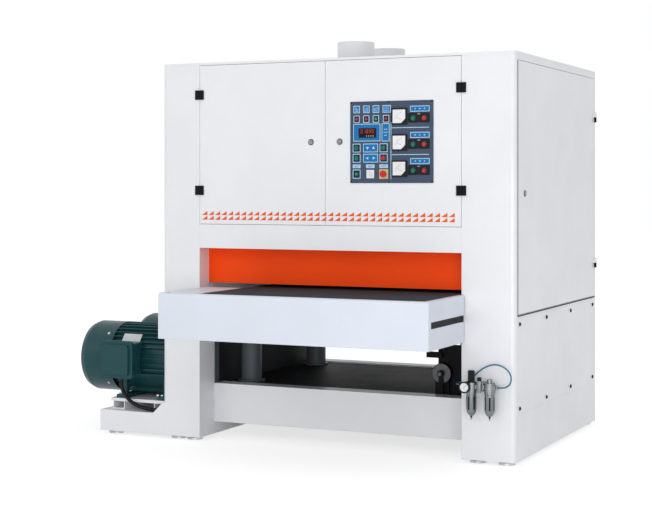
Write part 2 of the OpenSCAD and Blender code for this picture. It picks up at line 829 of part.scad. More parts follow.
module right_door() color("whitesmoke") place() difference() {
    folded_door(seam_x + door_gap / 2, throat_x1 - door_gap, door_bottom, door_top);
    lock_hole(seam_x + lock_inset, lock_z);
    block(panel_x + window_rim, panel_x + panel_w - window_rim, -over, skin + over,
        panel_z + window_rim, panel_z + panel_h - window_rim);
}

module side_door() color("whitesmoke") place() difference() {
    union() {
        difference() {
            block(cab_w - door_t, cab_w, side_y0, side_y1, side_z0, side_z1);
            block(cab_w - door_t - over, cab_w - skin, side_y0 + skin, side_y1 - skin,
                side_z0 + skin, side_z1 - skin);
        }
        for (z = [side_hinge_low, side_hinge_high]) {
            rod_z(z + gap, z + side_knuckle_h / 2, side_pin_x, side_pin_y, side_knuckle_r);
            block(cab_w, side_pin_x, side_y1 - side_leaf_w, side_y1, z + gap, z + side_knuckle_h / 2);
            block(cab_w + gap, side_pin_x, side_y1 - side_leaf_w, side_pin_y, z + gap, z + side_knuckle_h / 2);
        }
    }
    for (z = [side_hinge_low, side_hinge_high])
        rod_z(z - over, z + side_knuckle_h / 2 + over, side_pin_x, side_pin_y, side_pin_r + running);
    rod_x(cab_w - door_t - over, cab_w + over, side_lock_y, side_lock_z, lock_barrel_r + running);
}
module side_fixed_knuckle(z) {
    rod_z(z - side_knuckle_h / 2, z, side_pin_x, side_pin_y, side_knuckle_r);
    block(cab_w, side_pin_x, side_pin_y, side_pin_y + side_leaf_w, z - side_knuckle_h / 2, z);
    rod_z(z - gap, z + side_knuckle_h / 2, side_pin_x, side_pin_y, side_pin_r);
}

module fixed_hinge_leaves() color("#222222") place() {
    for (z = [hinge_low, hinge_high]) {
        hinge_leaf(throat_x0 + door_gap / 2, -1, z, false);
        hinge_leaf(throat_x1 - door_gap / 2, 1, z, false);
    }
    for (z = [side_hinge_low, side_hinge_high]) side_fixed_knuckle(z);
}

// Half of a square hinge: side is the way the leaf reaches, turning says it has the bored knuckle
module hinge_leaf(x, side, z, turning) {
    z0 = turning ? z + gap : z - hinge_half;
    z1 = turning ? z + hinge_half : z;
    translate([x, hinge_y, 0]) difference() {
        union() {
            rod_z(z0, z1, 0, 0, hinge_r);
            block(min(side * hinge_half, 0), max(side * hinge_half, 0), -hinge_y - hinge_leaf_t, -hinge_y,
                z - hinge_half, z + hinge_half);
        }
        rod_z(turning ? z - hinge_half - over : z, turning ? z + gap : z + hinge_half + over,
            0, 0, hinge_r + gap);
        if (turning) rod_z(z - over, z + hinge_half + over, 0, 0, hinge_pin_r + running);
    }
    if (!turning) rod_z(z - gap, z + hinge_half, x, hinge_y, hinge_pin_r);
}
module left_door_leaves() color("#222222") place()
    for (z = [hinge_low, hinge_high]) hinge_leaf(throat_x0 + door_gap / 2, 1, z, true);
module right_door_leaves() color("#222222") place()
    for (z = [hinge_low, hinge_high]) hinge_leaf(throat_x1 - door_gap / 2, -1, z, true);

// A quarter-turn lock drawn along -Y, with its cam hanging down
module lock_body(back, reach) {
    difference() {
        rod_y(-lock_proud, 0, 0, 0, lock_r);
        block(-lock_slot_w / 2, lock_slot_w / 2, -lock_proud - over, -lock_proud / 2, -lock_r / 2, lock_r / 2);
    }
    rod_y(0, back, 0, 0, lock_barrel_r);
    block(-cam_w / 2, cam_w / 2, back, back + cam_t, -reach, cam_w / 2);
}
module left_lock() color("silver") place() translate([seam_x - lock_inset, 0, lock_z]) lock_body(cam_y, cam_l);
module right_lock() color("silver") place() translate([seam_x + lock_inset, 0, lock_z]) lock_body(cam_y, cam_l);
module side_lock() color("silver") place()
    translate([cab_w, side_lock_y, side_lock_z]) rotate(90) lock_body(door_t + door_gap, side_cam_l);

// Control panel
module panel_hole(share_x, share_z, r)
    rod_y(-plate_y - bezel_t - over, over, panel_x + share_x * panel_w, panel_z + share_z * panel_h, r);
module bezel(share_x, share_z) difference() {
    rod_y(-plate_y - bezel_t, -plate_y, panel_x + share_x * panel_w, panel_z + share_z * panel_h, bezel_r);
    rod_y(-plate_y - bezel_t - over, -plate_y, panel_x + share_x * panel_w, panel_z + share_z * panel_h,
        button_r + bezel_gap);
}

module control_panel() color("slategray") place() difference() {
    union() {
        along_y(-plate_y, plate_y) translate([panel_x, panel_z]) round_rect(panel_w, panel_h, plate_y);
        for (z = twin_row_shares, x = twin_x_shares) bezel(x, z);
        for (z = [raise_row_share, feed_row_share], x = [column_shares[0], jog_x_share]) bezel(x, z);
    }
    for (z = twin_row_shares, x = twin_x_shares) panel_hole(x, z, button_stem_r + running);
    for (z = [raise_row_share, feed_row_share], x = [column_shares[0], jog_x_share])
        panel_hole(x, z, button_stem_r + running);
    panel_hole(jog_x_share, stop_row_share, button_stem_r + running);
    panel_hole(key_x_share, stop_row_share, button_stem_r + running);
    for (z = meter_row_shares) panel_hole(meter_x_share, z, meter_can_r);
    for (x = column_shares) panel_hole(x, lamp_row_share, lamp_r / 2 + running);
    panel_hole(column_shares[0], stop_row_share, lamp_r / 2 + running);
}

module panel_meters() color("#222222") place() {
    for (z = meter_row_shares) translate([panel_x + meter_x_share * panel_w, -plate_y, panel_z + z * panel_h]) {
        along_y(-meter_t, meter_t) translate([-meter_size / 2, -meter_size / 2])
            round_rect(meter_size, meter_size, plate_y);
        rod_y(0, meter_can_l, 0, 0, meter_can_r);
    }
    for (x = column_shares) lamp(x, lamp_row_share);
    lamp(column_shares[0], stop_row_share);
}
module lamp(x, z) translate([panel_x + x * panel_w, -plate_y, panel_z + z * panel_h]) {
    rod_y(-lamp_t, 0, 0, 0, lamp_r);
    rod_y(0, plate_y + lamp_t, 0, 0, lamp_r / 2);
}

// A push button: cap in front of the plate, stem through it and a collar behind
module button(share_x, share_z, cap_r, cap_l)
    translate([panel_x + share_x * panel_w, -plate_y, panel_z + share_z * panel_h]) {
        rod_y(-button_stroke - gap - cap_l, -button_stroke - gap, 0, 0, cap_r);
        rod_y(-button_stroke - gap, button_stem_l, 0, 0, button_stem_r);
    }
// Buttons of the three twin stations: column 0 starts and column 1 stops
module twin_button(column, row) button(twin_x_shares[column], twin_row_shares[row], button_r, button_cap);
module start_button_1() color("seagreen") place() twin_button(0, 0);
module start_button_2() color("seagreen") place() twin_button(0, 1);
module start_button_3() color("seagreen") place() twin_button(0, 2);
module stop_button_1() color("crimson") place() twin_button(1, 0);
module stop_button_2() color("crimson") place() twin_button(1, 1);
module stop_button_3() color("crimson") place() twin_button(1, 2);
module table_up_button() color("seagreen") place()
    button(column_shares[0], raise_row_share, button_r, button_cap);
module table_down_button() color("seagreen") place()
    button(jog_x_share, raise_row_share, button_r, button_cap);
module feed_start_button() color("seagreen") place()
    button(column_shares[0], feed_row_share, button_r, button_cap);
module feed_stop_button() color("crimson") place()
    button(jog_x_share, feed_row_share, button_r, button_cap);
module emergency_stop() color("red") place() button(jog_x_share, stop_row_share, stop_r, button_cap * 2);
module key_selector() color("white") place()
    translate([panel_x + key_x_share * panel_w, -plate_y, panel_z + stop_row_share * panel_h]) {
        rod_y(-gap - button_cap, -gap, 0, 0, button_r);
        block(-lock_slot_w, lock_slot_w, -gap - button_cap * 2, -gap - button_cap, -button_r, button_r);
        rod_y(-gap, button_stem_l, 0, 0, button_stem_r);
    }

// Feed table
// Outline in Y and Z of an apron of length l whose lower corner at the nose is the origin
function nose(r) = [for (k = [0:nose_steps]) let (a = 180 - 90 * k / nose_steps) r * [cos(a), sin(a)]];
module apron_side(l) polygon(concat(
    [[0, 0]],
    [for (p = nose(nose_r)) [nose_r + p[0], apron_h - nose_r + p[1]]],
    [[l, apron_h], [l, 0]]
));
module apron_front() polygon(concat(
    [[0, 0]],
    [for (p = nose(nose_r)) [nose_r + p[0], apron_h - nose_r + p[1]]],
    [for (k = [nose_steps:-1:0]) [nose_r, apron_h - nose_r] + nose(nose_r - apron_t)[k]],
    [[apron_t, 0]]
));
module apron(l) {
    along_x(apron_x0, apron_x1 - apron_x0) apron_front();
    for (x = [apron_x0, apron_x1 - apron_t]) along_x(x, apron_t) apron_side(l);
}
module table_frame() color("whitesmoke") place() {
    difference() {
        translate([0, -table_out, apron_z0]) apron(table_out - table_gap);
        block(apron_x1 - apron_t - over, apron_x1 + over, -table_out + slot_end, -table_gap + over,
            slot_z0, slot_z0 + slot_h);
    }
    translate([0, cab_d + table_back, apron_z0]) mirror([0, 1, 0]) apron(table_back - table_gap);
    difference() {
        union() {
            for (x = [belt_x0 - rail_gap - rail_t, belt_x1 + rail_gap])
                block(x, x + rail_t, -table_out + apron_t, cab_d + table_back - apron_t, roller_z - rail_h / 2,
                    roller_z + rail_h / 2);
            for (x = [belt_x0 - rail_gap - rail_t, belt_x1 + rail_gap], y = lift_ys)
                block(x, x + rail_t, y - saddle_d / 2, y + saddle_d / 2, saddle_z0, roller_z);
            for (x = [belt_x0 - rail_gap - rail_t, belt_x1 + rail_gap], y = table_ends)
                block(x, x + rail_t, y[0], y[1], roller_z, table_top);
        }
        for (y = [front_roller_y, rear_roller_y])
            rod_x(belt_x0 - rail_gap - rail_t - over, belt_x1 + rail_gap + rail_t + over, y, roller_z,
                feed_axle_r + running);
    }
    bed_y0 = front_roller_y + feed_r + bed_t;
    bed_y1 = rear_roller_y - feed_r - bed_t;
    block(belt_x0, belt_x1, bed_y0, bed_y1, roller_z + feed_r - gap - bed_t, roller_z + feed_r - gap);
    for (k = [0:bed_ribs - 1]) {
        y = bed_y0 + (bed_y1 - bed_y0 - bed_t) * k / (bed_ribs - 1);
        block(belt_x0 - rail_gap, belt_x1 + rail_gap, y, y + bed_t,
            roller_z - rail_h / 2, roller_z + rail_h / 2);
        block(belt_x0, belt_x1, y, y + bed_t, roller_z, roller_z + feed_r - gap);
    }
    for (y = lift_ys) {
        block(throat_x0 + lift_x - lift_r, belt_x1 + rail_gap + rail_t, y - saddle_d / 2, y + saddle_d / 2,
            saddle_z0, saddle_z1);
        for (x = lift_xs) rod_z(piston_bottom, saddle_z0, x, y, piston_r);
    }
    for (y = table_ends) {
        block(apron_x0, belt_x0 - rail_gap, y[0], y[1], table_top - apron_t, table_top);
        block(belt_x1 + rail_gap, apron_x1, y[0], y[1], table_top - apron_t, table_top);
    }
}

module feed_belt() color("#333333") place() stand_x(belt_x0, front_roller_y, roller_z)
    band(feed_w, feed_r, feed_r, rear_roller_y - front_roller_y, 0, feed_t);

module feed_roller(y) {
    rod_x(belt_x0, belt_x1, y, roller_z, feed_r);
    rod_x(belt_x0 - rail_gap - rail_t * 2, belt_x1 + rail_gap + rail_t, y, roller_z, feed_axle_r);
}
module feed_drive_roller() color("silver") place() feed_roller(rear_roller_y);
module feed_idle_roller() color("silver") place() feed_roller(front_roller_y);

module lift_columns() color("slategray") place()
    for (x = lift_xs, y = lift_ys) difference() {
        union() {
            rod_z(deck_z1, deck_z1 + lift_flange_t, x, y, lift_flange_r);
            rod_z(deck_z1, lift_top, x, y, lift_r);
        }
        rod_z(deck_z1 + lift_flange_t, lift_top + over, x, y, piston_r + running);
    }

module lift_gearbox() color("#333333") place() {
    block(gear_x - gear_w / 2, gear_x + gear_w / 2, gear_y, gear_y + gear_w, deck_z1, gear_z);
    rod_y(gear_y - gear_t, gear_y + gear_w, gear_x, gear_z, gear_r);
    rod_y(gear_y - gear_t * 3, gear_y - gear_t, gear_x, gear_z, gear_r / 3);
    rod_y(gear_y + gear_w, gear_y + gear_w + gear_motor_l, gear_x, gear_z, gear_motor_r);
    block(gear_x - gear_crank_w / 2, gear_x + gear_crank_w / 2, gear_y - gear_t * 2, gear_y - gear_t,
        deck_z1, gear_z);
    block(gear_x - gear_guard_in, throat_x1 - gap, gear_y + gear_guard_y, gear_y + gear_guard_y + gear_guard_t,
        deck_z1, gear_guard_top);
    block(gear_x - gear_guard_in - gear_arm_l, gear_x, gear_y + gear_guard_y - gear_arm_h,
        gear_y + gear_guard_y + gear_guard_t, gear_arm_z, gear_arm_z + gear_arm_h);
}

// Air unit
module air_unit() color("silver") place() {
    difference() {
        union() {
            for (x = [reg_x, reg_x + air_pitch]) {
                rod_z(air_z - air_body_h / 2, air_z + air_body_h / 2, x, -air_y, air_body_r);
                block(x - air_body_w / 2, x + air_body_w / 2, -air_y - air_body_r / 2, -air_y + air_body_r / 2,
                    air_z - air_body_h / 4, air_z + air_body_h / 4);
            }
            block(reg_x + air_body_w / 2, reg_x + air_pitch - air_body_w / 2, -air_y - port_r, 0,
                air_z - air_body_h / 2, air_z + air_body_h / 2);
        }
        rod_z(air_z + air_body_h / 2 - spindle_l, air_z + air_body_h / 2 + over,
            reg_x, -air_y, spindle_r + running);
    }
    rod_z(air_z + air_body_h / 2, air_z + air_body_h / 2 + dome_h, reg_x + air_pitch, -air_y, dome_r);
    rod_x(reg_x + air_pitch + air_body_w / 2, hose_start_x, -air_y, air_z, port_r);
    rod_x(throat_x1 - bulkhead_l, throat_x1, port_y, port_z, port_r);
}

module air_bowls() color("lightgray") place()
    for (x = [reg_x, reg_x + air_pitch]) {
        z = air_z - air_body_h / 2;
        rod_z(z - bowl_h, z, x, -air_y, bowl_r);
        translate([x, -air_y, z - bowl_h - bowl_tip]) cylinder(h = bowl_tip, r1 = bowl_r / 2, r2 = bowl_r);
        rod_z(z - bowl_h - bowl_tip - drain_h, z - bowl_h - bowl_tip, x, -air_y, drain_r);
    }

module pressure_gauge() color("white") place() {
    y = -air_y - air_body_r - gauge_t;
    rod_y(y - gauge_t, y, reg_x - gauge_x, air_z, gauge_r);
    difference() {
        rod_y(y, -air_y - air_body_r / 2, reg_x - gauge_x, air_z, gauge_stem_r);
        rod_z(air_z - air_body_h / 2, air_z + air_body_h / 2, reg_x, -air_y, air_body_r);
    }
}

module regulator_knob() color("#222222") place() {
    rod_z(air_z + air_body_h / 2 + gap, air_z + air_body_h / 2 + gap + knob_h, reg_x, -air_y, knob_r);
    rod_z(air_z + air_body_h / 2 - spindle_l + gap, air_z + air_body_h / 2 + gap, reg_x, -air_y, spindle_r);
}

module air_hose() color("steelblue") place() tube(hose_route, hose_r, hose_sides);
module motor_cables() color("#222222") place()
    for (route = [cable_route, rear_cable_route]) tube(route, cable_r, cable_sides);

left_column();
right_column();
roof();
rear_panel();
front_frame();
throat_guard();
lower_beams();
base_deck();
levelling_feet();
side_cover();
head_frames();
sanding_belts();
motor_housings();
fan_covers();
terminal_boxes();
motor_plates();
drive_belts();
fixed_hinge_leaves();
lift_columns();
lift_gearbox();
air_unit();
air_bowls();
pressure_gauge();
air_hose();
motor_cables();
front_drum();
rear_drum();
front_yoke();
rear_yoke();
front_tension_roller();
rear_tension_roller();
front_rotor();
rear_rotor();
left_door();
right_door();
side_door();
left_door_leaves();
right_door_leaves();
left_lock();
right_lock();
side_lock();
control_panel();
panel_meters();
emergency_stop();
key_selector();
start_button_1();
start_button_2();
start_button_3();
stop_button_1();
stop_button_2();
stop_button_3();
table_up_button();
table_down_button();
feed_start_button();
feed_stop_button();
table_frame();
feed_belt();
feed_drive_roller();
feed_idle_roller();
regulator_knob();
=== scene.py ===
"""Finishes, control panel, stripes and fittings for a two-head wide-belt planer sander."""

import math

import bmesh
import bpy
from bpy.props import FloatProperty, FloatVectorProperty, IntProperty, PointerProperty
from mathutils import Matrix, Vector


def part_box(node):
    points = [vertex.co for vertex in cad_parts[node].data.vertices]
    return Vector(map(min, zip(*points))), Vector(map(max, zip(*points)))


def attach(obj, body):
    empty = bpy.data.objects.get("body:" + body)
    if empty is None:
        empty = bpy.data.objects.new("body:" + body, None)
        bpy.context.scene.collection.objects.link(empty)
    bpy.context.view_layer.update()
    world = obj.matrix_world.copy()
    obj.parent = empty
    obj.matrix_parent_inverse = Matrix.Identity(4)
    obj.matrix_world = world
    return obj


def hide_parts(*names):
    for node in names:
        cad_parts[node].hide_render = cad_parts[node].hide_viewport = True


bl_info = {
    "name": "Wide-Belt Sander Dressing",
    "version": (1, 0, 0),
    "blender": (4, 5, 0),
    "location": "3D View > Sidebar > Sander",
    "description": "Finishes, control panel and fittings for a wide-belt planer sander",
    "category": "Object",
}

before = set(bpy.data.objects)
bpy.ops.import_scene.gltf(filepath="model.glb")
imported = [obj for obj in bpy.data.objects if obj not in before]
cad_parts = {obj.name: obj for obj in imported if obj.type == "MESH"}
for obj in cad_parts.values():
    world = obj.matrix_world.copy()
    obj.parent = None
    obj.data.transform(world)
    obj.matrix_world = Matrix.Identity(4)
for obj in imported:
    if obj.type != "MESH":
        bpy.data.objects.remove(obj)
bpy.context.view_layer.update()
MM = 0.001

FRONT = (0, -1, 0)
BACK = (0, 1, 0)
RIGHT = (1, 0, 0)
LEFT = (-1, 0, 0)
UP = (0, 0, 1)
DOWN = (0, 0, -1)

# The roof plate gives the cabinet's own corner, from which all places below are measured
ROOF_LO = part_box("roof")[0]
PANEL_LO, PANEL_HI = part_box("control_panel")
BEZEL_T = 0.002
PANEL_Y = PANEL_LO.y + BEZEL_T
PANEL_W = PANEL_HI.x - PANEL_LO.x
PANEL_H = PANEL_HI.z - PANEL_LO.z

# The camera, fitted to the photograph's edges: place in millimetres, the rest in degrees and pixels
CAMERA_PLACE = (4549.8, -7497.3, 1472.8)
CAMERA_TURN = 25
CAMERA_LENS = 82.30
CAMERA_SENSOR = 36.0
PHOTO_WIDTH = 652
HORIZON_SHIFT = -73.6

# Routes of the free hose and cables, in millimetres from the cabinet's corner
HOSE_R = 4
HOSE_ROUTE = [
    (2077, -60, 420), (2092, -60, 420), (2108, -60, 422), (2124, -60, 429),
    (2137, -60, 442), (2144, -60, 460), (2144, -60, 480), (2137, -60, 499),
    (2124, -60, 515), (2106, -58, 527), (2085, -54, 535), (2060, -48, 538),
    (2034, -42, 535), (2008, -36, 527), (1984, -30, 515), (1962, -26, 500),
    (1942, -24, 483), (1924, -24, 465), (1907, -26, 449), (1889, -28, 436),
    (1870, -27, 428), (1852, -24, 424), (1834, -16, 422), (1822, 0, 421),
    (1816, 20, 421), (1814, 42, 421), (1814, 66, 421), (1814, 82, 421),
    (1817, 93, 421), (1824, 101, 421), (1832, 104, 421), (1836, 104, 421),
]
CABLE_R = 11
CABLE_ROUTE = [
    (-278, -13, 332), (-278, -13, 318), (-277, -13, 300), (-273, -12, 281), (-266, -11, 262),
    (-255, -9, 243), (-242, -6, 225), (-225, -2, 208), (-205, 3, 193), (-182, 9, 180),
    (-157, 16, 170), (-130, 23, 163), (-102, 29, 158), (-73, 34, 156), (-43, 37, 156),
    (-13, 39, 156), (17, 42, 157), (49, 45, 158), (82, 48, 160), (115, 51, 162),
    (148, 53, 163), (182, 55, 164), (215, 56, 164), (242, 56, 164),
]

# The motors: free end, first axis, pitch, axis height and housing radius, in millimetres
MOTOR_X = -620
MOTOR_Y = 250
MOTOR_PITCH = 600
MOTOR_Z = 438
MOTOR_R = 210.2
REAR_CABLE_ROUTE = [(x, y + MOTOR_PITCH, z) for x, y, z in CABLE_ROUTE]

# The air unit: middles of the regulator and the lubricator, distance in front and heights, in millimetres
AIR_X = (1926, 2027)
AIR_Y = -60
BOWL_TOP = 398
KNOB_SEAT = 442.3
COLLAR_Z = 442
DOME_Z = 461
BRACKET_Y = -84
BRACKET_Z = 432
HOSE_PORT = (2063, AIR_Y, 420)
BULKHEAD = (1850, 104, 421)


def tone(name, default, note):
    """A colour that a user may change."""
    return FloatVectorProperty(name=name, description=note, subtype="COLOR", size=3, min=0, max=1,
                               default=default)


def length(name, default, note):
    """A size in metres that a user may change."""
    return FloatProperty(name=name, description=note, subtype="DISTANCE", unit="LENGTH", min=0,
                         default=default)


class SanderColours(bpy.types.PropertyGroup):
    """Colours of the machine's finishes."""

    cabinet: tone("Cabinet", (0.80, 0.81, 0.84), "Powder coat of the cabinet")
    table: tone("Table", (0.69, 0.73, 0.81), "Slightly bluish coat of the table's apron")
    guard: tone("Guard", (0.95, 0.072, 0.004), "Orange paint of the throat guard")
    stripe: tone("Stripe", (0.82, 0.12, 0.015), "Orange of the triangles on the doors")
    motor: tone("Motor", (0.008, 0.058, 0.066), "Teal enamel of the motors")
    deck: tone("Deck", (0.014, 0.015, 0.018), "Dark paint under the table")
    heads: tone("Heads", (0.25, 0.30, 0.36), "Paint of the sanding heads' frames")
    posts: tone("Posts", (0.085, 0.10, 0.115), "Paint of the lifting posts")
    panel: tone("Panel", (0.058, 0.080, 0.130), "Face of the control panel")
    tile: tone("Tile", (0.012, 0.170, 0.44), "Blue tiles of the control panel")
    rim: tone("Tile rim", (0.44, 0.66, 0.82), "Pale borders of the tiles")
    hose: tone("Hose", (0.02, 0.16, 0.27), "Nylon air hose")


class SanderSizes(bpy.types.PropertyGroup):
    """Sizes of the dressing, in metres."""

    stripe_low: length("Stripe bottom", 1.281, "Height of the stripe band's lower edge")
    stripe_row: length("Stripe row", 0.027, "Height of one row of triangles")
    stripe_pitch: length("Stripe pitch", 0.042, "Distance between triangles")
    stripe_start: length("Stripe start", 0.264, "Left end of the band, from the cabinet's left")
    stripe_t: length("Stripe thickness", 0.0004, "Thickness of the film")
    tile_t: length("Tile thickness", 0.0012, "Thickness of a panel tile")
    rim_w: length("Tile rim", 0.004, "Width of a tile's pale border")
    stripe_columns: IntProperty(name="Stripe columns", description="Triangles along the band", default=37,
                                min=1)


def colours():
    return bpy.context.scene.sander_colours


def sizes():
    return bpy.context.scene.sander_sizes


# Places and directions


def at(x, y, z):
    """A place in millimetres right of the cabinet's left side, behind its front and above the floor."""
    return Vector((ROOF_LO.x + x * MM, ROOF_LO.y + y * MM, z * MM))


def spot(share_x, share_z, out=0.0):
    """A place on the control panel, as shares of its width and height, out in front of its face."""
    return Vector((PANEL_LO.x + share_x * PANEL_W, PANEL_Y - out, PANEL_LO.z + share_z * PANEL_H))


def move(x=0.0, y=0.0, z=0.0):
    """A step in metres."""
    return Vector((x, y, z))


def ray(degrees, across=RIGHT, up=UP):
    """A unit vector turned from one direction towards another."""
    angle = math.radians(degrees)
    return Vector(across) * math.cos(angle) + Vector(up) * math.sin(angle)


def facing(axis):
    """A turn that takes +Z to the axis given."""
    return Vector(UP).rotation_difference(Vector(axis)).to_matrix().to_4x4()


def turned_to(x, y, z):
    """The turn that takes the three axes to the unit vectors given."""
    return Matrix((x, y, z)).transposed().to_4x4()


# Node groups that the finishes share

GROUPS = {}


def add_node(tree, kind, links=None, **settings):
    """Adds a node, sets its properties and joins or sets the sockets given by name or number."""
    node = tree.nodes.new(kind)
    for key, value in settings.items():
        setattr(node, key, value)
    for key, source in (links or {}).items():
        if isinstance(source, bpy.types.NodeSocket):
            tree.links.new(source, node.inputs[key])
        else:
            node.inputs[key].default_value = source
    return node


def object_place(tree):
    return add_node(tree, "ShaderNodeTexCoord").outputs["Object"]


def stretch(tree, vector, **turn):
    links = {"Vector": vector, **{key.title(): value for key, value in turn.items()}}
    return add_node(tree, "ShaderNodeMapping", links).outputs[0]


def noise(tree, vector, scale, detail=3.0, rough=0.5):
    links = {"Vector": vector, "Scale": scale, "Detail": detail, "Roughness": rough}
    return add_node(tree, "ShaderNodeTexNoise", links).outputs[0]


def remap(tree, value, a, b, c=0.0, d=1.0):
    links = {"Value": value, "From Min": a, "From Max": b, "To Min": c, "To Max": d}
    return add_node(tree, "ShaderNodeMapRange", links).outputs[0]


def math_node(tree, operation, a, b):
    return add_node(tree, "ShaderNodeMath", {0: a, 1: b}, operation=operation).outputs[0]


def mix(tree, factor, a, b):
    """Mixes two colours, through the Mix node's own colour sockets."""
    return add_node(tree, "ShaderNodeMix", {0: factor, 6: a, 7: b}, data_type="RGBA").outputs[2]


def bump(tree, height, normal, strength, distance):
    links = {"Strength": strength, "Distance": distance, "Height": height, "Normal": normal}
    return add_node(tree, "ShaderNodeBump", links).outputs[0]


def new_group(name, inputs):
    """A shader node group with float inputs: its tree and its input sockets."""
    tree = bpy.data.node_groups.new(name, "ShaderNodeTree")
    for label, value in inputs.items():
        socket = tree.interface.new_socket(name=label, in_out="INPUT", socket_type="NodeSocketFloat")
        socket.default_value = value
    return tree, tree.nodes.new("NodeGroupInput").outputs


def end_group(tree, **results):
    """Puts out the sockets given. A normal is a vector and the rest are numbers."""
    for label in results:
        kind = "NodeSocketVector" if label == "Normal" else "NodeSocketFloat"
        tree.interface.new_socket(name=label, in_out="OUTPUT", socket_type=kind)
    end = tree.nodes.new("NodeGroupOutput")
    for label, socket in results.items():
        tree.links.new(socket, end.inputs[label])
    GROUPS[tree.name] = tree


def soft_edge_group():
    """Rounds the shading over a piece's edges and masks them; the finishes paint the masked edges lighter,
    partly wear and partly a painted highlight.
    """
    tree, inputs = new_group("Soft Edge", {"Radius": 0.002})
    bevel = add_node(tree, "ShaderNodeBevel", {"Radius": inputs[0]}, samples=4).outputs[0]
    flat = add_node(tree, "ShaderNodeNewGeometry").outputs["Normal"]
    agree = add_node(tree, "ShaderNodeVectorMath", {0: bevel, 1: flat}, operation="DOT_PRODUCT")
    # The edge mask: the finishes paint edges lighter with it, partly wear and partly a painted highlight
    end_group(tree, Normal=bevel, Worn=remap(tree, agree.outputs["Value"], 0.985, 0.86))


def paint_skin_group():
    """Orange peel, slow patches, settled dust and light scuffs of a sprayed coat."""
    tree, inputs = new_group("Paint Skin", {"Peel Scale": 500.0, "Scuff Scale": 14.0})
    place = object_place(tree)
    normal = add_node(tree, "ShaderNodeNewGeometry").outputs["Normal"]
    level = remap(tree, add_node(tree, "ShaderNodeSeparateXYZ", {0: normal}).outputs[2], 0.55, 0.95)
    grains = remap(tree, noise(tree, place, 38.0, 6.0, 0.7), 0.42, 0.70)
    long_marks = stretch(tree, place, scale=(1.0, 1.0, 0.25))
    end_group(tree, Height=noise(tree, place, inputs[0], 2.0), Patches=noise(tree, place, 2.2, 4.0, 0.6),
              Dust=math_node(tree, "MULTIPLY", level, grains),
              Scuffs=remap(tree, noise(tree, long_marks, inputs[1], 8.0, 0.75), 0.60, 0.74))


def brushed_group():
    """Fine turning or grinding marks along X."""
    tree, inputs = new_group("Brushed", {"Scale": 240.0})
    place = object_place(tree)
    marks = stretch(tree, place, scale=(8.0, 0.4, 0.4))
    end_group(tree, Height=noise(tree, marks, inputs[0], 3.0), Tone=noise(tree, place, 9.0, 4.0, 0.6))


def grain_group():
    """Close grain of rubber, cloth or abrasive."""
    tree, inputs = new_group("Grain", {"Scale": 400.0})
    place = object_place(tree)
    cells = add_node(tree, "ShaderNodeTexVoronoi", {"Vector": place, "Scale": inputs[0]}).outputs[0]
    end_group(tree, Height=cells, Tone=noise(tree, place, 6.0, 6.0, 0.7))


def belt_top_group():
    """Diamond rough top of the conveyor belt, with paler patches at random."""
    tree, inputs = new_group("Belt Top", {"Pitch": 90.0})
    place = object_place(tree)
    waves = []
    for degrees in (45, -45):
        turned = stretch(tree, place, rotation=(0.0, 0.0, math.radians(degrees)))
        wave = add_node(tree, "ShaderNodeTexWave", {"Vector": turned, "Scale": inputs[0]})
        waves.append(wave.outputs[1])
    end_group(tree, Height=math_node(tree, "MULTIPLY", *waves), Tone=noise(tree, place, 3.0, 5.0, 0.65))


# Finishes

FINISH = {}
SETTLED_DUST = (0.42, 0.37, 0.30, 1.0)
TONE_SPAN = (0.35, 0.7)
ROUGH_SPAN = (0.3, 0.7)
PLAIN_SOCKETS = {
    "base": "Base Color", "rough": "Roughness", "metallic": "Metallic", "coat": "Coat Weight",
    "coat_rough": "Coat Roughness", "gloss": "Specular IOR Level", "glow": "Emission Strength",
    "clear": "Transmission Weight", "ior": "IOR",
}


def rgba(colour, gain=1.0):
    return (*(min(part * gain, 1.0) for part in colour), 1.0)


def place_group(tree, name, size=None):
    """A node of a shared group, its first input set where a size is given."""
    node = add_node(tree, "ShaderNodeGroup", node_tree=GROUPS[name])
    if size is not None:
        node.inputs[0].default_value = size
    return node


def blank(name, **plain):
    """A material with only its Principled shader and output, and plain values on the shader's sockets."""
    material = bpy.data.materials.new(name)
    material.use_nodes = True
    shader = material.node_tree.nodes["Principled BSDF"]
    for key, value in plain.items():
        shader.inputs[PLAIN_SOCKETS[key]].default_value = value
    return material, material.node_tree, shader.inputs


def surface(name, colour, pattern, size, radius, tone, overlays, rough, relief, **plain):
    """A finish on one pattern group.

    tone is a mask and the gain it fades the colour to, each overlay a mask, its strength and its colour or
    gain, rough a mask with the two roughnesses it runs between, and relief the bump's strength and depth.
    The edge mask's overlay paints the edges lighter: partly wear, partly a painted highlight."""
    material, tree, shader = blank(name, **plain)
    skin = place_group(tree, pattern, size)
    edge = place_group(tree, "Soft Edge", radius)
    masks = {**{out.name: out for out in skin.outputs}, "Worn": edge.outputs["Worn"]}
    shade = mix(tree, remap(tree, masks[tone[0]], *TONE_SPAN), rgba(colour), rgba(colour, tone[1]))
    for mask, strength, other in overlays:
        # Overlays: scuffs and dust, and on the edge mask lighter edges, partly wear and partly a painted
        # highlight
        overlay = other if isinstance(other, tuple) else rgba(colour, other)
        shade = mix(tree, math_node(tree, "MULTIPLY", masks[mask], strength), shade, overlay)
    tree.links.new(shade, shader["Base Color"])
    tree.links.new(remap(tree, masks[rough[0]], *ROUGH_SPAN, *rough[1:]), shader["Roughness"])
    tree.links.new(bump(tree, masks["Height"], edge.outputs["Normal"], *relief), shader["Normal"])
    return material


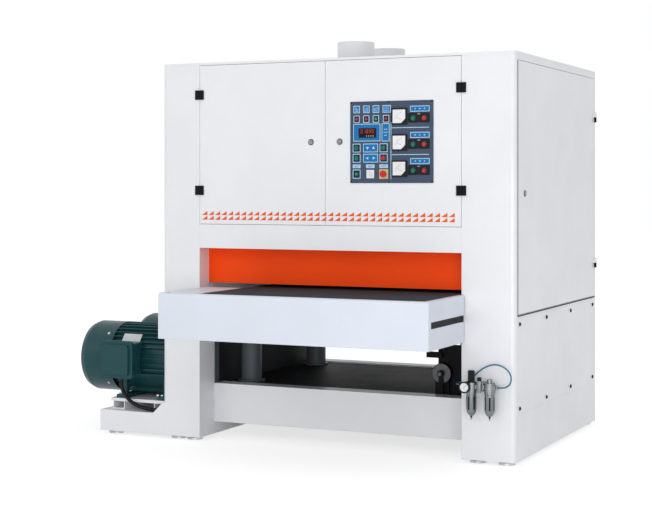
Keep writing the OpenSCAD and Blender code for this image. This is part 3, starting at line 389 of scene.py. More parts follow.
def paint(name, colour, rough=0.38, coat=0.25, radius=0.0025, peel=0.08, dust=0.12, scuff=0.06, gloss=0.5):
    """Sprayed coat: orange peel, dust on what lies level, scuffs, and edges painted lighter, partly a little
    worn and partly a painted highlight.
    """
    return surface(name, colour, "Paint Skin", None, radius, ("Patches", 0.95),
                   (("Scuffs", scuff, 0.55), ("Dust", dust, SETTLED_DUST), ("Worn", 0.25, 1.18)),
                   ("Patches", rough - 0.04, rough + 0.07), (peel, 0.0004),
                   coat=coat, coat_rough=0.16, gloss=gloss)


def metal(name, colour, rough=0.3, metallic=1.0, radius=0.0008, marks=0.10, scale=240.0):
    """Turned, ground or cast metal with fine marks, slight tarnish, and edges painted lighter, partly worn
    and partly a painted highlight.
    """
    return surface(name, colour, "Brushed", scale, radius, ("Tone", 0.78), (("Worn", 0.4, 1.3),),
                   ("Height", rough - 0.06, rough + 0.10), (marks, 0.0002), metallic=metallic)


def rubber(name, colour, rough=0.7, scale=500.0, depth=0.25, radius=0.001, pattern="Grain", gloss=0.2):
    """Rubber, cloth or abrasive with a close grain."""
    return surface(name, colour, pattern, scale, radius, ("Tone", 1.45), (("Height", 0.35, 0.55),),
                   ("Tone", rough - 0.08, rough + 0.08), (depth, 0.0006), gloss=gloss)


def plastic(name, colour, rough=0.28, coat=0.02):
    """Moulded plastic or printed film with a fine speckle, and edges painted lighter, partly worn and partly
    a painted highlight.
    """
    return surface(name, colour, "Grain", 900.0, 0.0008, ("Tone", 0.88), (("Worn", 0.3, 1.35),),
                   ("Tone", rough - 0.05, rough + 0.08), (0.08, 0.0001), coat=coat, gloss=0.15)


def glowing(name, colour, strength):
    """A lit digit or lamp under a diffuser."""
    material, tree, shader = blank(name, glow=strength, rough=0.3)
    grain = place_group(tree, "Grain", 1500.0)
    shade = mix(tree, remap(tree, grain.outputs["Height"], 0.0, 1.0), rgba(colour), rgba(colour, 0.6))
    for socket in ("Base Color", "Emission Color"):
        tree.links.new(shade, shader[socket])
    return material


def clear(name, colour, rough=0.05):
    """Clear glass or polycarbonate with faint smears."""
    material, tree, shader = blank(name, base=rgba(colour), clear=0.92, ior=1.45)
    skin = place_group(tree, "Paint Skin", 60.0)
    smears = remap(tree, skin.outputs["Height"], *ROUGH_SPAN, rough, rough + 0.08)
    tree.links.new(smears, shader["Roughness"])
    return material


def make_finishes(c):
    """Every finish of the machine, from the user's colours and the plain ones named here."""
    painted = {
        "cabinet": paint("Cabinet Coat", c.cabinet),
        "table": paint("Table Coat", c.table, rough=0.42, coat=0.05, gloss=0.3),
        "guard": paint("Guard Orange", c.guard, rough=0.45, coat=0.0, gloss=0.12),
        "motor": paint("Motor Enamel", c.motor, rough=0.34, coat=0.12, peel=0.2, dust=0.05, scuff=0.12,
                       gloss=0.22),
        "deck": paint("Deck Paint", c.deck, rough=0.55, coat=0.0, dust=0.06, scuff=0.3, gloss=0.10),
        "heads": paint("Head Paint", c.heads, dust=0.2, scuff=0.2, gloss=0.3),
        "posts": paint("Post Paint", c.posts, rough=0.45, coat=0.05, dust=0.1, scuff=0.2, gloss=0.2),
        "black": paint("Black Enamel", (0.006, 0.006, 0.007), rough=0.5, coat=0.0, radius=0.001, dust=0.03,
                       gloss=0.1),
        "panel": paint("Panel Face", c.panel, rough=0.5, coat=0.0, radius=0.001, dust=0.02, scuff=0.03,
                       gloss=0.15),
    }
    metals = {
        "steel": metal("Ground Steel", (0.56, 0.57, 0.59)),
        "rotor": metal("Turned Rotor", (0.35, 0.35, 0.36), rough=0.4),
        "lock": metal("Nickel Lock", (0.34, 0.35, 0.37), rough=0.22),
        "cast": metal("Die Cast", (0.27, 0.29, 0.30), rough=0.42, marks=0.3, scale=90.0),
        "guard_metal": metal("Bowl Guard", (0.22, 0.24, 0.25), rough=0.34, marks=0.2, scale=120.0),
        "gear": metal("Oiled Gear Face", (0.11, 0.11, 0.115), rough=0.45, marks=0.4, scale=60.0),
        "dark_metal": metal("Dark Nickel", (0.10, 0.11, 0.12)),
        "zinc": metal("Zinc Screw", (0.45, 0.46, 0.48), rough=0.35, radius=0.0004),
        "plate": metal("Blank Plate", (0.55, 0.58, 0.60), rough=0.45, metallic=0.3, marks=0.2),
    }
    rubbers = {
        "conveyor": rubber("Conveyor Rubber", (0.020, 0.036, 0.043), rough=0.8, scale=60.0, depth=0.5,
                           pattern="Belt Top"),
        "vbelt": rubber("Drive Belt Rubber", (0.015, 0.015, 0.016)),
        "abrasive": rubber("Abrasive Cloth", (0.14, 0.045, 0.018), rough=0.85, scale=1400.0, depth=0.6),
        "cable": rubber("Cable Sheath", (0.008, 0.008, 0.009), rough=0.5, scale=900.0, depth=0.1),
    }
    plastics = {
        "stripe": plastic("Stripe Film", c.stripe),
        "hose": plastic("Hose Nylon", c.hose, rough=0.25, coat=0.4),
        "black_plastic": plastic("Black Moulding", (0.012, 0.012, 0.014), rough=0.35),
        "green": plastic("Green Button", (0.008, 0.20, 0.13)),
        "red": plastic("Red Button", (0.56, 0.030, 0.032)),
        "white_plastic": plastic("White Moulding", (0.78, 0.79, 0.80)),
        "yellow": plastic("Yellow Plate", (0.66, 0.50, 0.22)),
        "tile": plastic("Blue Tile", c.tile, rough=0.22),
        "dark_tile": plastic("Dark Tile", (0.012, 0.028, 0.060), rough=0.22),
        "rim": plastic("Pale Rim", c.rim, rough=0.30),
        "dial": plastic("White Dial", (0.82, 0.83, 0.84), rough=0.4),
        "ink": plastic("Dial Ink", (0.02, 0.02, 0.022), rough=0.5),
        "screen": plastic("Dark Window", (0.008, 0.008, 0.010), rough=0.12),
    }
    lit_and_clear = {
        "digit": glowing("Red Digits", (0.60, 0.02, 0.02), 0.7),
        "dots": glowing("Amber Dots", (0.85, 0.62, 0.12), 1.0),
        "red_lamp": glowing("Red Lamp", (0.38, 0.010, 0.05), 0.25),
        "green_lamp": glowing("Green Lamp", (0.010, 0.30, 0.12), 0.25),
        "sight": clear("Sight Dome", (0.86, 0.90, 0.90), rough=0.12),
    }
    FINISH.update({**painted, **metals, **rubbers, **plastics, **lit_and_clear})


NODE_FINISH = {
    "cabinet": ["left_column", "right_column", "roof", "rear_panel", "front_frame", "lower_beams",
                "side_cover", "left_door", "right_door", "side_door", "motor_plates"],
    "table": ["table_frame"],
    "guard": ["throat_guard"],
    "deck": ["base_deck"],
    "heads": ["head_frames", "front_yoke", "rear_yoke"],
    "posts": ["lift_columns"],
    "black": ["fixed_hinge_leaves", "left_door_leaves", "right_door_leaves", "lift_gearbox"],
    "motor": ["motor_housings", "fan_covers", "terminal_boxes"],
    "panel": ["control_panel"],
    "steel": ["levelling_feet", "front_tension_roller", "rear_tension_roller", "feed_drive_roller",
              "feed_idle_roller"],
    "rotor": ["front_drum", "rear_drum", "front_rotor", "rear_rotor"],
    "lock": ["left_lock", "right_lock", "side_lock"],
    "cast": ["air_unit"],
    "conveyor": ["feed_belt"],
    "vbelt": ["drive_belts"],
    "abrasive": ["sanding_belts"],
    "black_plastic": ["panel_meters"],
    "green": ["start_button_1", "start_button_2", "start_button_3", "table_up_button", "table_down_button",
              "feed_start_button"],
    "red": ["stop_button_1", "stop_button_2", "stop_button_3", "feed_stop_button", "emergency_stop"],
    "white_plastic": ["key_selector"],
}


# Shaping

SHARP_ANGLE = math.radians(35)
MERGE = 1e-6


def edges_at(verts):
    """The edges at the vertices, each once and in an order that is the same in each run."""
    return list(dict.fromkeys(e for v in verts for e in v.link_edges))


class Shape:
    """A piece under construction: a bmesh and the finishes its faces use."""

    def __init__(self):
        self.bm = bmesh.new()
        self.finishes = []

    def dress(self, verts, finish, smooth=True):
        """Gives the faces at the vertices a finish."""
        if finish not in self.finishes:
            self.finishes.append(finish)
        index = self.finishes.index(finish)
        for face in {f for v in verts for f in v.link_faces}:
            face.material_index = index
            face.smooth = smooth

    def soften(self, edges, offset, steps):
        if offset:
            bmesh.ops.bevel(self.bm, geom=edges, offset=offset, segments=steps, profile=0.5, affect="EDGES",
                            material=-1)

    def block(self, lo, hi, finish, soft=0.0, steps=2):
        """A box between two corners, its edges rounded."""
        size = hi - lo
        made = bmesh.ops.create_cube(self.bm, size=1.0, matrix=Matrix.Translation((lo + hi) / 2)
                                     @ Matrix.Diagonal((*size, 1.0)))["verts"]
        self.dress(made, finish)
        self.soften(edges_at(made), soft, steps)

    def plate(self, middle, turn, size, finish):
        """A flat-sided plate about its middle, turned in place."""
        made = bmesh.ops.create_cube(self.bm, size=1.0, matrix=Matrix.Translation(middle) @ turn
                                     @ Matrix.Diagonal((*size, 1.0)))["verts"]
        self.dress(made, finish, smooth=False)

    def rod(self, start, axis, length, radius, finish, sides=32, soft=0.0, tip=None):
        """A round bar or cone from a point along an axis, its rims rounded."""
        tip = radius if tip is None else tip
        turn = Matrix.Translation(start) @ facing(axis) @ Matrix.Translation((0, 0, length / 2))
        made = bmesh.ops.create_cone(self.bm, cap_ends=True, segments=sides, radius1=radius, radius2=tip,
                                     depth=length, matrix=turn)["verts"]
        self.dress(made, finish)
        rims = [e for e in edges_at(made) if any(len(f.verts) > 4 for f in e.link_faces)]
        self.soften(rims, soft, 2)

    def close_spin(self, verts, finish):
        """Merges the doubles of the full spin that holds the vertices, and gives it a finish."""
        found = dict.fromkeys(v for v in verts if v.is_valid)
        front = list(found)
        while front:
            near = dict.fromkeys(e.other_vert(v) for v in front for e in v.link_edges)
            front = [v for v in near if v not in found]
            found.update(dict.fromkeys(front))
        bmesh.ops.remove_doubles(self.bm, verts=list(found), dist=MERGE)
        self.dress([v for v in found if v.is_valid], finish)

    def spin(self, verts, edges, centre, axis, steps, finish):
        bmesh.ops.spin(self.bm, geom=verts + edges, cent=centre, axis=axis, dvec=(0, 0, 0),
                       angle=2 * math.pi, steps=steps, use_merge=True, use_duplicate=False)
        self.close_spin(verts, finish)

    def turned(self, profile, start, axis, finish, steps=40):
        """A shape of revolution: profile is (radius, distance along the axis), from pole to pole."""
        turn = Matrix.Translation(start) @ facing(axis)
        verts = [self.bm.verts.new(turn @ Vector((r, 0, h))) for r, h in profile]
        edges = [self.bm.edges.new(pair) for pair in zip(verts, verts[1:])]
        self.spin(verts, edges, start, axis, steps, finish)

    def eye(self, centre, major, minor, finish):
        """A round ring standing across X."""
        turn = Matrix.Translation(centre + move(z=major)) @ Matrix.Rotation(math.radians(90), 4, "X")
        verts = bmesh.ops.create_circle(self.bm, cap_ends=False, segments=12, radius=minor,
                                        matrix=turn)["verts"]
        self.spin(verts, edges_at(verts), centre, RIGHT, 28, finish)

    def push(self, faces, thick):
        """Extrudes faces towards the front, and returns the moved vertices."""
        out = bmesh.ops.extrude_face_region(self.bm, geom=faces)["geom"]
        moved = [g for g in out if isinstance(g, bmesh.types.BMVert)]
        bmesh.ops.translate(self.bm, verts=moved, vec=(0, -thick, 0))
        return moved

    def slab(self, place, corners, thick, finish):
        """A flat-sided plate facing -Y, from the corners of its back face round a place."""
        verts = [self.bm.verts.new(place + move(x=a, z=b)) for a, b in corners]
        moved = self.push([self.bm.faces.new(verts)], thick)
        self.dress(verts + moved, finish, smooth=False)

    def ring_plate(self, centre, width, height, hole, thick, finish):
        """A flat plate facing -Y with a round hole, from its back face at centre."""
        turn = Matrix.Translation(centre) @ facing(FRONT)
        lip, rim = (bmesh.ops.create_circle(self.bm, cap_ends=False, segments=32, radius=radius,
                                            matrix=turn)["verts"] for radius in (hole, 1.0))
        for v in rim:
            d = v.co - centre
            v.co = centre + d / max(abs(d.x) / (width / 2), abs(d.z) / (height / 2))
        moved = self.push(bmesh.ops.bridge_loops(self.bm, edges=edges_at(lip + rim))["faces"], thick)
        self.dress(lip + rim + moved, finish)

    def screw(self, centre, axis, radius, finish="zinc"):
        """A low pan head."""
        rise = radius * 0.5
        self.turned([(0, rise), (radius * 0.6, rise * 0.85), (radius, rise * 0.2), (radius, -rise * 0.2)],
                    centre, axis, finish, steps=16)

    def done(self, name, body):
        """Makes the object, with sharp edges marked by angle, and lets it ride on a body."""
        bmesh.ops.recalc_face_normals(self.bm, faces=self.bm.faces[:])
        for edge in self.bm.edges:
            if len(edge.link_faces) == 2 and edge.calc_face_angle(0) > SHARP_ANGLE:
                edge.smooth = False
        mesh = bpy.data.meshes.new(name)
        self.bm.to_mesh(mesh)
        self.bm.free()
        for finish in self.finishes:
            mesh.materials.append(FINISH[finish])
        piece = bpy.data.objects.new(name, mesh)
        bpy.context.scene.collection.objects.link(piece)
        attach(piece, body)
        return piece


def cord(name, route, radius, finish):
    """A smooth cord through the route's points."""
    points = [at(*p) for p in route]
    curve = bpy.data.curves.new(name, "CURVE")
    curve.dimensions = "3D"
    curve.bevel_depth = radius * MM
    curve.bevel_resolution = 5
    curve.resolution_u = 5
    curve.use_fill_caps = True
    spline = curve.splines.new("BEZIER")
    spline.bezier_points.add(len(points) - 1)
    for knot, p in zip(spline.bezier_points, points):
        knot.co = p
        knot.handle_left_type = knot.handle_right_type = "AUTO"
    curve.materials.append(FINISH[finish])
    piece = bpy.data.objects.new(name, curve)
    bpy.context.scene.collection.objects.link(piece)
    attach(piece, "frame")
    return piece


# Operators for the camera, the cords and the finishes


class SANDER_OT_materials(bpy.types.Operator):
    """Build the shared node groups and every finish"""
    bl_idname = "sander.materials"
    bl_label = "Materials"

    def execute(self, context):
        for make in (soft_edge_group, paint_skin_group, brushed_group, grain_group, belt_top_group):
            make()
        make_finishes(colours())
        return {"FINISHED"}


class SANDER_OT_camera(bpy.types.Operator):
    """Set the camera at the photograph's viewpoint"""
    bl_idname = "sander.camera"
    bl_label = "Camera"

    def execute(self, context):
        data = bpy.data.cameras.new("view_camera")
        data.sensor_width = CAMERA_SENSOR
        data.lens = CAMERA_LENS
        data.shift_y = HORIZON_SHIFT / PHOTO_WIDTH
        data.clip_end = 100.0
        camera = bpy.data.objects.new("view_camera", data)
        camera.location = at(*CAMERA_PLACE)
        camera.rotation_euler = (math.radians(90), 0, math.radians(CAMERA_TURN))
        context.scene.collection.objects.link(camera)
        context.scene.camera = camera
        return {"FINISHED"}


class SANDER_OT_cords(bpy.types.Operator):
    """Lay the air hose and the motor cables"""
    bl_idname = "sander.cords"
    bl_label = "Hose and cables"

    def execute(self, context):
        hose = cord("air_hose_tube", HOSE_ROUTE, HOSE_R, "hose")
        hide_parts("air_hose")
        for name, route in (("front_motor_cable", CABLE_ROUTE), ("rear_motor_cable", REAR_CABLE_ROUTE)):
            cable = cord(name, route, CABLE_R, "cable")
            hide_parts("motor_cables")
        return {"FINISHED"}


class SANDER_OT_finishes(bpy.types.Operator):
    """Give every carried-over node its finish"""
    bl_idname = "sander.finishes"
    bl_label = "Finishes"

    def execute(self, context):
        for finish, nodes in NODE_FINISH.items():
            for node in nodes:
                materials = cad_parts[node].data.materials
                materials.clear()
                materials.append(FINISH[finish])
        return {"FINISHED"}


# The doors' stripe band

# Share of its pitch and of its row that a triangle fills
TRIANGLE_SHARE = 0.86


class SANDER_OT_stripes(bpy.types.Operator):
    """Lay the band of orange triangles across both doors"""
    bl_idname = "sander.stripes"
    bl_label = "Stripe band"

    def execute(self, context):
        for name, door, side in (("left_stripes", "left_door", -1), ("right_stripes", "right_door", 1)):
            lo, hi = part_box(door)
            self.band(name, door, side, hi.x if side < 0 else lo.x)
        return {"FINISHED"}

    def band(self, name, door, side, seam):
        """One door's triangles, cut at the seam between the doors."""
        s = sizes()
        shape = Shape()
        width = s.stripe_pitch * TRIANGLE_SHARE
        height = s.stripe_row * TRIANGLE_SHARE
        for column in range(s.stripe_columns):
            x = ROOF_LO.x + s.stripe_start + column * s.stripe_pitch
            if (x - seam) * side < -s.stripe_pitch:
                continue
            for row in range(2):
                place = Vector((x, ROOF_LO.y, s.stripe_low + row * s.stripe_row))
                shape.slab(place, ((0, 0), (width, 0), (width, height)), s.stripe_t, "stripe")
        geom = shape.bm.verts[:] + shape.bm.edges[:] + shape.bm.faces[:]
        bmesh.ops.bisect_plane(shape.bm, geom=geom, plane_co=(seam, 0, 0), plane_no=(-side, 0, 0),
                               clear_outer=True)
        open_edges = [e for e in shape.bm.edges if e.is_boundary]
        bmesh.ops.holes_fill(shape.bm, edges=open_edges, sides=8)
        shape.done(name, door)


# The control panel. Places are shares of its width and height, and sizes are in metres.

ICON_X = (0.079, 0.197, 0.315, 0.446)
ICON_Z = 0.904
ICON_W = (0.039, 0.039, 0.039, 0.049)
ICON_H = 0.041
LAMP_X = (0.079, 0.197, 0.315, 0.438)
LAMP_Z = 0.784
LAMP_W = 0.037
DISPLAY_TILE = (0.203, 0.619, 0.162, 0.097)
UNIT_TILE = (0.432, 0.619, 0.047, 0.099)
UNIT_BARS = ((0.655, 0.020), (0.619, 0.026), (0.583, 0.014))
UNIT_BAR_H = 0.0035
JOG_X = (0.079, 0.408)
JOG_SIZE = (0.047, 0.048)
ARROW_X = 0.249
ARROW_SIZE = (0.089, 0.048)
RAISE_Z = 0.430
FEED_Z = 0.305
LABELS = ((0.079, 0.047), (0.246, 0.050), (0.408, 0.050))
LABEL_Z = 0.206
LABEL_H = 0.020
KEY_X = 0.246
STOP_Z = 0.110
TWIN_X = (0.764, 0.895)
TWIN_ROWS = (0.783, 0.466, 0.150)
TWIN_LABEL_RISE = 0.115
TWIN_LABEL = (0.842, 0.112, 0.032)
TWIN_SIGN_PITCH = 0.055
TWIN_SIGN = 0.006
STATION_BAR = (0.83, 0.014, 0.006)
STATION_BAR_RISE = 0.052
METER_X = 0.600
METER_ROWS = (0.809, 0.492, 0.175)
# Dividing lines: place across and up, width and height
DIVIDERS = ((0.727, 0.672, 0.218, 0.004), (0.727, 0.345, 0.218, 0.004), (0.497, 0.395, 0.004, 0.310))
SCREWS = ((0.014, 0.986), (0.470, 0.990), (0.986, 0.986), (0.014, 0.016), (0.470, 0.012), (0.986, 0.016))
# Radii of the holes round a button, a lamp and a stem
BUTTON_HOLE = 0.0142
LAMP_HOLE = 0.0085
STEM_HOLE = 0.0082
# Heights of a sign, an arrow, a label, its print and a divider, in tile thicknesses
SIGN_LIFT = 1.2
ARROW_LIFT = 1.25
LABEL_LIFT = 0.5
PRINT_LIFT = 0.7
DIVIDER_LIFT = 0.6
STATION_BAR_LIFT = 1.5
# Heights of a sign's line and of a label's print, and the print's places above the middle and shares of the
# label's width
SIGN_LINE = 0.0022
PRINT_LINE = 0.0025
PRINT_ROWS = ((0.002, 0.7), (-0.004, 0.5))
TILE_EDGE = 0.0003
# The two signs: spread and length of the three lines, then spread, lean, width and height of the uprights
LINE_SPREAD = 0.010
LINE_LENGTH = 0.030
UPRIGHT_SPREAD = 0.008
UPRIGHT_LEAN = 0.003
UPRIGHT_SIZE = (0.0025, 0.016)
FOOT_DROP = 0.011
FOOT_LENGTH = 0.022
ARROW_OUT = 0.018
UPRIGHT_ARROW = ((0, 0.011), (-0.009, -0.006), (0.009, -0.006))
LEVEL_ARROW = ((0.012, 0), (-0.005, 0.008), (-0.005, -0.008))
# Plates round the lamp, the key and the emergency stop, and behind a twin button
LAMP_PLATE = (0.047, 0.050)
KEY_PLATE = (0.045, 0.046)
STOP_PLATE = (0.053, 0.052)
STATION_PLATE = (0.0635, 0.054)
STATION_T = 0.0014
PANEL_SCREW_R = 0.0045
LENS_OUT = 0.004


def tile(shape, share_x, share_z, width, height, fill="tile", hole=0.0):
    """A printed tile: pale border and coloured field, with a hole where a button passes."""
    t = sizes().tile_t
    rim = sizes().rim_w
    centre = spot(share_x, share_z)
    for inset, thick, finish in ((0, t * 0.5, "rim"), (rim, t, fill)):
        if hole:
            shape.ring_plate(centre, width - 2 * inset, height - 2 * inset, hole, thick, finish)
        else:
            half = move(x=width / 2 - inset, z=height / 2 - inset)
            shape.block(centre - half - move(y=thick), centre + half, finish, TILE_EDGE, 1)


def bar(shape, centre, width, height, lift, finish="rim"):
    """A thin flat bar on the panel, its height above the face in tile thicknesses."""
    half = move(x=width / 2, z=height / 2)
    shape.block(centre - half - move(y=sizes().tile_t * lift), centre + half, finish)


class SANDER_OT_tiles(bpy.types.Operator):
    """Lay the printed tiles, label strips and dividing lines of the control panel"""
    bl_idname = "sander.tiles"
    bl_label = "Panel tiles"

    def execute(self, context):
        shape = Shape()
        for kind, (x, width, lamp_x) in enumerate(zip(ICON_X, ICON_W, LAMP_X)):
            tile(shape, x, ICON_Z, width, ICON_H)
            self.sign(shape, spot(x, ICON_Z), kind)
            tile(shape, lamp_x, LAMP_Z, LAMP_W, ICON_H, "dark_tile", LAMP_HOLE)
        tile(shape, *DISPLAY_TILE)
        tile(shape, *UNIT_TILE)
        for z, width in UNIT_BARS:
            bar(shape, spot(UNIT_TILE[0], z), width, UNIT_BAR_H, SIGN_LIFT)
        self.jog_rows(shape)
        self.labels(shape)
        self.stop_row(shape)
        self.twin_labels(shape)
        for x, z, width, height in DIVIDERS:
            bar(shape, spot(x, z), width, height, DIVIDER_LIFT)
        shape.done("panel_tiles", "right_door")
        return {"FINISHED"}

    def sign(self, shape, centre, kind):
        """A plain sign on a tile: three lines, or three uprights on a foot."""
        if kind == 3:
            for k in (1, 0, -1):
                bar(shape, centre + move(z=k * LINE_SPREAD), LINE_LENGTH, SIGN_LINE, SIGN_LIFT)
            return
        width, height = UPRIGHT_SIZE
        for k in (-1, 0, 1):
            place = centre + move(x=k * UPRIGHT_SPREAD, z=(kind - 1) * k * UPRIGHT_LEAN)
            bar(shape, place, width, height + 0.003 * ((k + 1 + kind) % 2), SIGN_LIFT)
        bar(shape, centre - move(z=FOOT_DROP), FOOT_LENGTH, SIGN_LINE, SIGN_LIFT)

    def jog_rows(self, shape):
        """Tiles round the jog buttons, with opposed arrow heads between them."""
        for row in (RAISE_Z, FEED_Z):
            for x in JOG_X:
                tile(shape, x, row, *JOG_SIZE, "dark_tile", BUTTON_HOLE)
            tile(shape, ARROW_X, row, *ARROW_SIZE)
        for row, corners in ((RAISE_Z, UPRIGHT_ARROW), (FEED_Z, LEVEL_ARROW)):
            for side in (-1, 1):
                outline = [(across * side, up * side) for across, up in corners]
                place = spot(ARROW_X, row) + move(x=side * ARROW_OUT)
                shape.slab(place, outline, sizes().tile_t * ARROW_LIFT, "rim")

    def labels(self, shape):
        """Pale label strips, each with two lines of print."""
        for x, width in LABELS:
            centre = spot(x, LABEL_Z)
            bar(shape, centre, width, LABEL_H, LABEL_LIFT)
            for rise, share in PRINT_ROWS:
                bar(shape, centre + move(z=rise), width * share, PRINT_LINE, PRINT_LIFT, "tile")

    def stop_row(self, shape):
        """The lamp's tile, the key's white plate and the emergency stop's thin yellow one."""
        t = sizes().tile_t
        tile(shape, ICON_X[0], STOP_Z, *LAMP_PLATE, "dark_tile", LAMP_HOLE)
        shape.ring_plate(spot(KEY_X, STOP_Z), *KEY_PLATE, STEM_HOLE, t, "white_plastic")
        shape.ring_plate(spot(JOG_X[1], STOP_Z), *STOP_PLATE, STEM_HOLE, t / 6, "yellow")

    def twin_labels(self, shape):
        """A tile with three signs over each pair of start and stop buttons."""
        x, width, height = TWIN_LABEL
        for k, row in enumerate(TWIN_ROWS):
            tile(shape, x, row + TWIN_LABEL_RISE, width, height)
            for j in range(3):
                place = spot(x + TWIN_SIGN_PITCH * (j - 1), row + TWIN_LABEL_RISE)
                bar(shape, place, TWIN_SIGN + 0.003 * ((j + k) % 2), TWIN_SIGN, SIGN_LIFT)


# Which bars of a seven-bar figure are lit
SEGMENTS = {"0": "abcdef", "1": "bc", "3": "abgcd", "8": "abcdefg"}
READING = "01830"
DISPLAY_PLACE = (0.212, 0.614)
DISPLAY_SIZE = (0.104, 0.052)
DISPLAY_OUT = 0.0045
DIGIT_PITCH = 0.0165
DIGIT_W = 0.0085
DIGIT_H = 0.0175
DIGIT_BAR = 0.0018
DIGIT_RISE = 0.008
DIGIT_OUT = 0.0005
# The row of dots under the figures: first place, pitch, drop and radius
DOT_START = -0.004
DOT_PITCH = 0.013
DOT_DROP = 0.017
DOT_R = 0.0022


class SANDER_OT_display(bpy.types.Operator):
    """Build the lit thickness display"""
    bl_idname = "sander.display"
    bl_label = "Display"

    def execute(self, context):
        shape = Shape()
        centre = spot(*DISPLAY_PLACE)
        half = move(x=DISPLAY_SIZE[0] / 2, z=DISPLAY_SIZE[1] / 2)
        shape.block(centre - half - move(y=DISPLAY_OUT), centre + half, "screen", 0.0012)
        face = centre - move(y=DISPLAY_OUT)
        for k, digit in enumerate(READING):
            self.digit(shape, face + move(x=(k - 2) * DIGIT_PITCH, z=DIGIT_RISE), digit)
        for k in range(4):
            place = face + move(x=DOT_START + DOT_PITCH * k, z=-DOT_DROP)
            shape.rod(place, FRONT, 0.0006, DOT_R, "dots", 12)
        shape.done("panel_display", "right_door")
        return {"FINISHED"}

    def digit(self, shape, centre, value):
        """A figure of lit bars: place across and up, width and height of each."""
        w, h, t = DIGIT_W, DIGIT_H, DIGIT_BAR
        upright = (t, h / 2 - t)
        bars = {"a": (0, h / 2, w, t), "g": (0, 0, w, t), "d": (0, -h / 2, w, t),
                "b": (w / 2, h / 4, *upright), "c": (w / 2, -h / 4, *upright),
                "f": (-w / 2, h / 4, *upright), "e": (-w / 2, -h / 4, *upright)}
        for key in SEGMENTS[value]:
            x, z, width, height = bars[key]
            half = move(x=width / 2, z=height / 2)
            place = centre + move(x=x, z=z)
            shape.block(place - half - move(y=DIGIT_OUT), place + half, "digit")


class SANDER_OT_stations(bpy.types.Operator):
    """Fit the black plates behind the twin buttons"""
    bl_idname = "sander.stations"
    bl_label = "Button stations"

    def execute(self, context):
        shape = Shape()
        x_bar, width, height = STATION_BAR
        for row in TWIN_ROWS:
            for x, side in zip(TWIN_X, (-1, 1)):
                place = spot(x, row) + move(x=-side * 0.0002, z=0.003)
                shape.ring_plate(place, *STATION_PLATE, BUTTON_HOLE, STATION_T, "black_plastic")
            bar(shape, spot(x_bar, row + STATION_BAR_RISE), width, height, STATION_BAR_LIFT, "cast")
        shape.done("station_plates", "right_door")
        return {"FINISHED"}


class SANDER_OT_lamps(bpy.types.Operator):
    """Fit the domed lenses of the panel's five lamps"""
    bl_idname = "sander.lamps"
    bl_label = "Lamp lenses"

    def execute(self, context):
        shape = Shape()
        for x, finish in zip(LAMP_X, ("red_lamp", "red_lamp", "green_lamp", "red_lamp")):
            self.lens(shape, spot(x, LAMP_Z, LENS_OUT), finish)
        self.lens(shape, spot(ICON_X[0], STOP_Z, LENS_OUT), "green_lamp")
        shape.done("lamp_lenses", "right_door")
        return {"FINISHED"}

    def lens(self, shape, front, finish):
        dome = [(0, 0.0042), (0.004, 0.0036), (0.0070, 0.0018), (0.0082, 0.0), (0.0082, -0.0035)]
        shape.turned(dome, front, FRONT, finish, steps=24)


class SANDER_OT_panel_screws(bpy.types.Operator):
    """Screw the control panel to its door"""
    bl_idname = "sander.panel_screws"
    bl_label = "Panel screws"

    def execute(self, context):
        shape = Shape()
        for x, z in SCREWS:
            shape.screw(spot(x, z), FRONT, PANEL_SCREW_R, "black")
        shape.done("panel_screws", "right_door")
        return {"FINISHED"}


# A meter's face: half its width, its cut corner and its thickness, and the needle's pivot from its middle.
# The scale and the needle's rest are in degrees.
METER_HALF = 0.0365
METER_CUT = 0.024
METER_T = 0.0012
PIVOT = 0.016
SCALE_START = 95
SCALE_STEP = 8
SCALE_R = 0.034
SCALE_TICKS = 11
LONG_TICK = 0.007
SHORT_TICK = 0.004
TICK_R = 0.0005
NEEDLE_REST = 150
FIRST_READING = 12
READING_STEP = 9
NEEDLE_L = 0.036
NEEDLE_R = 0.0006


class SANDER_OT_meters(bpy.types.Operator):
    """Build the three current meters' white faces, scales and needles"""
    bl_idname = "sander.meters"
    bl_label = "Meters"

    def execute(self, context):
        shape = Shape()
        front = PANEL_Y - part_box("panel_meters")[0].y
        for k, row in enumerate(METER_ROWS):
            self.face(shape, spot(METER_X, row, front), FIRST_READING - READING_STEP * k)
        shape.done("meter_faces", "right_door")
        return {"FINISHED"}

    def face(self, shape, centre, reading):
        half, cut = METER_HALF, METER_CUT
        corners = ((-half, -half), (half - cut, -half), (half, -half + cut), (half, half), (-half, half))
        shape.slab(centre, corners, METER_T, "dial")
        pivot = centre + move(PIVOT, -METER_T, -PIVOT)
        for k in range(SCALE_TICKS):
            out = ray(SCALE_START + SCALE_STEP * k)
            tick = SHORT_TICK if k % 5 else LONG_TICK
            shape.rod(pivot + out * SCALE_R, out, tick, TICK_R, "ink", 4)
        needle = ray(NEEDLE_REST + reading)
        shape.rod(pivot - move(y=NEEDLE_R), needle, NEEDLE_L, NEEDLE_R, "ink", 6, tip=NEEDLE_R / 2)


# The front hinges, in millimetres: their lines, heights, the leaves' middles beside a line and their face
HINGE_LINES = (249, 1849)
HINGE_HEIGHTS = (1450, 2000)
LEAF_REACH = 19
LEAF_FACE = -8
LEAF_SCREW_RISE = 16


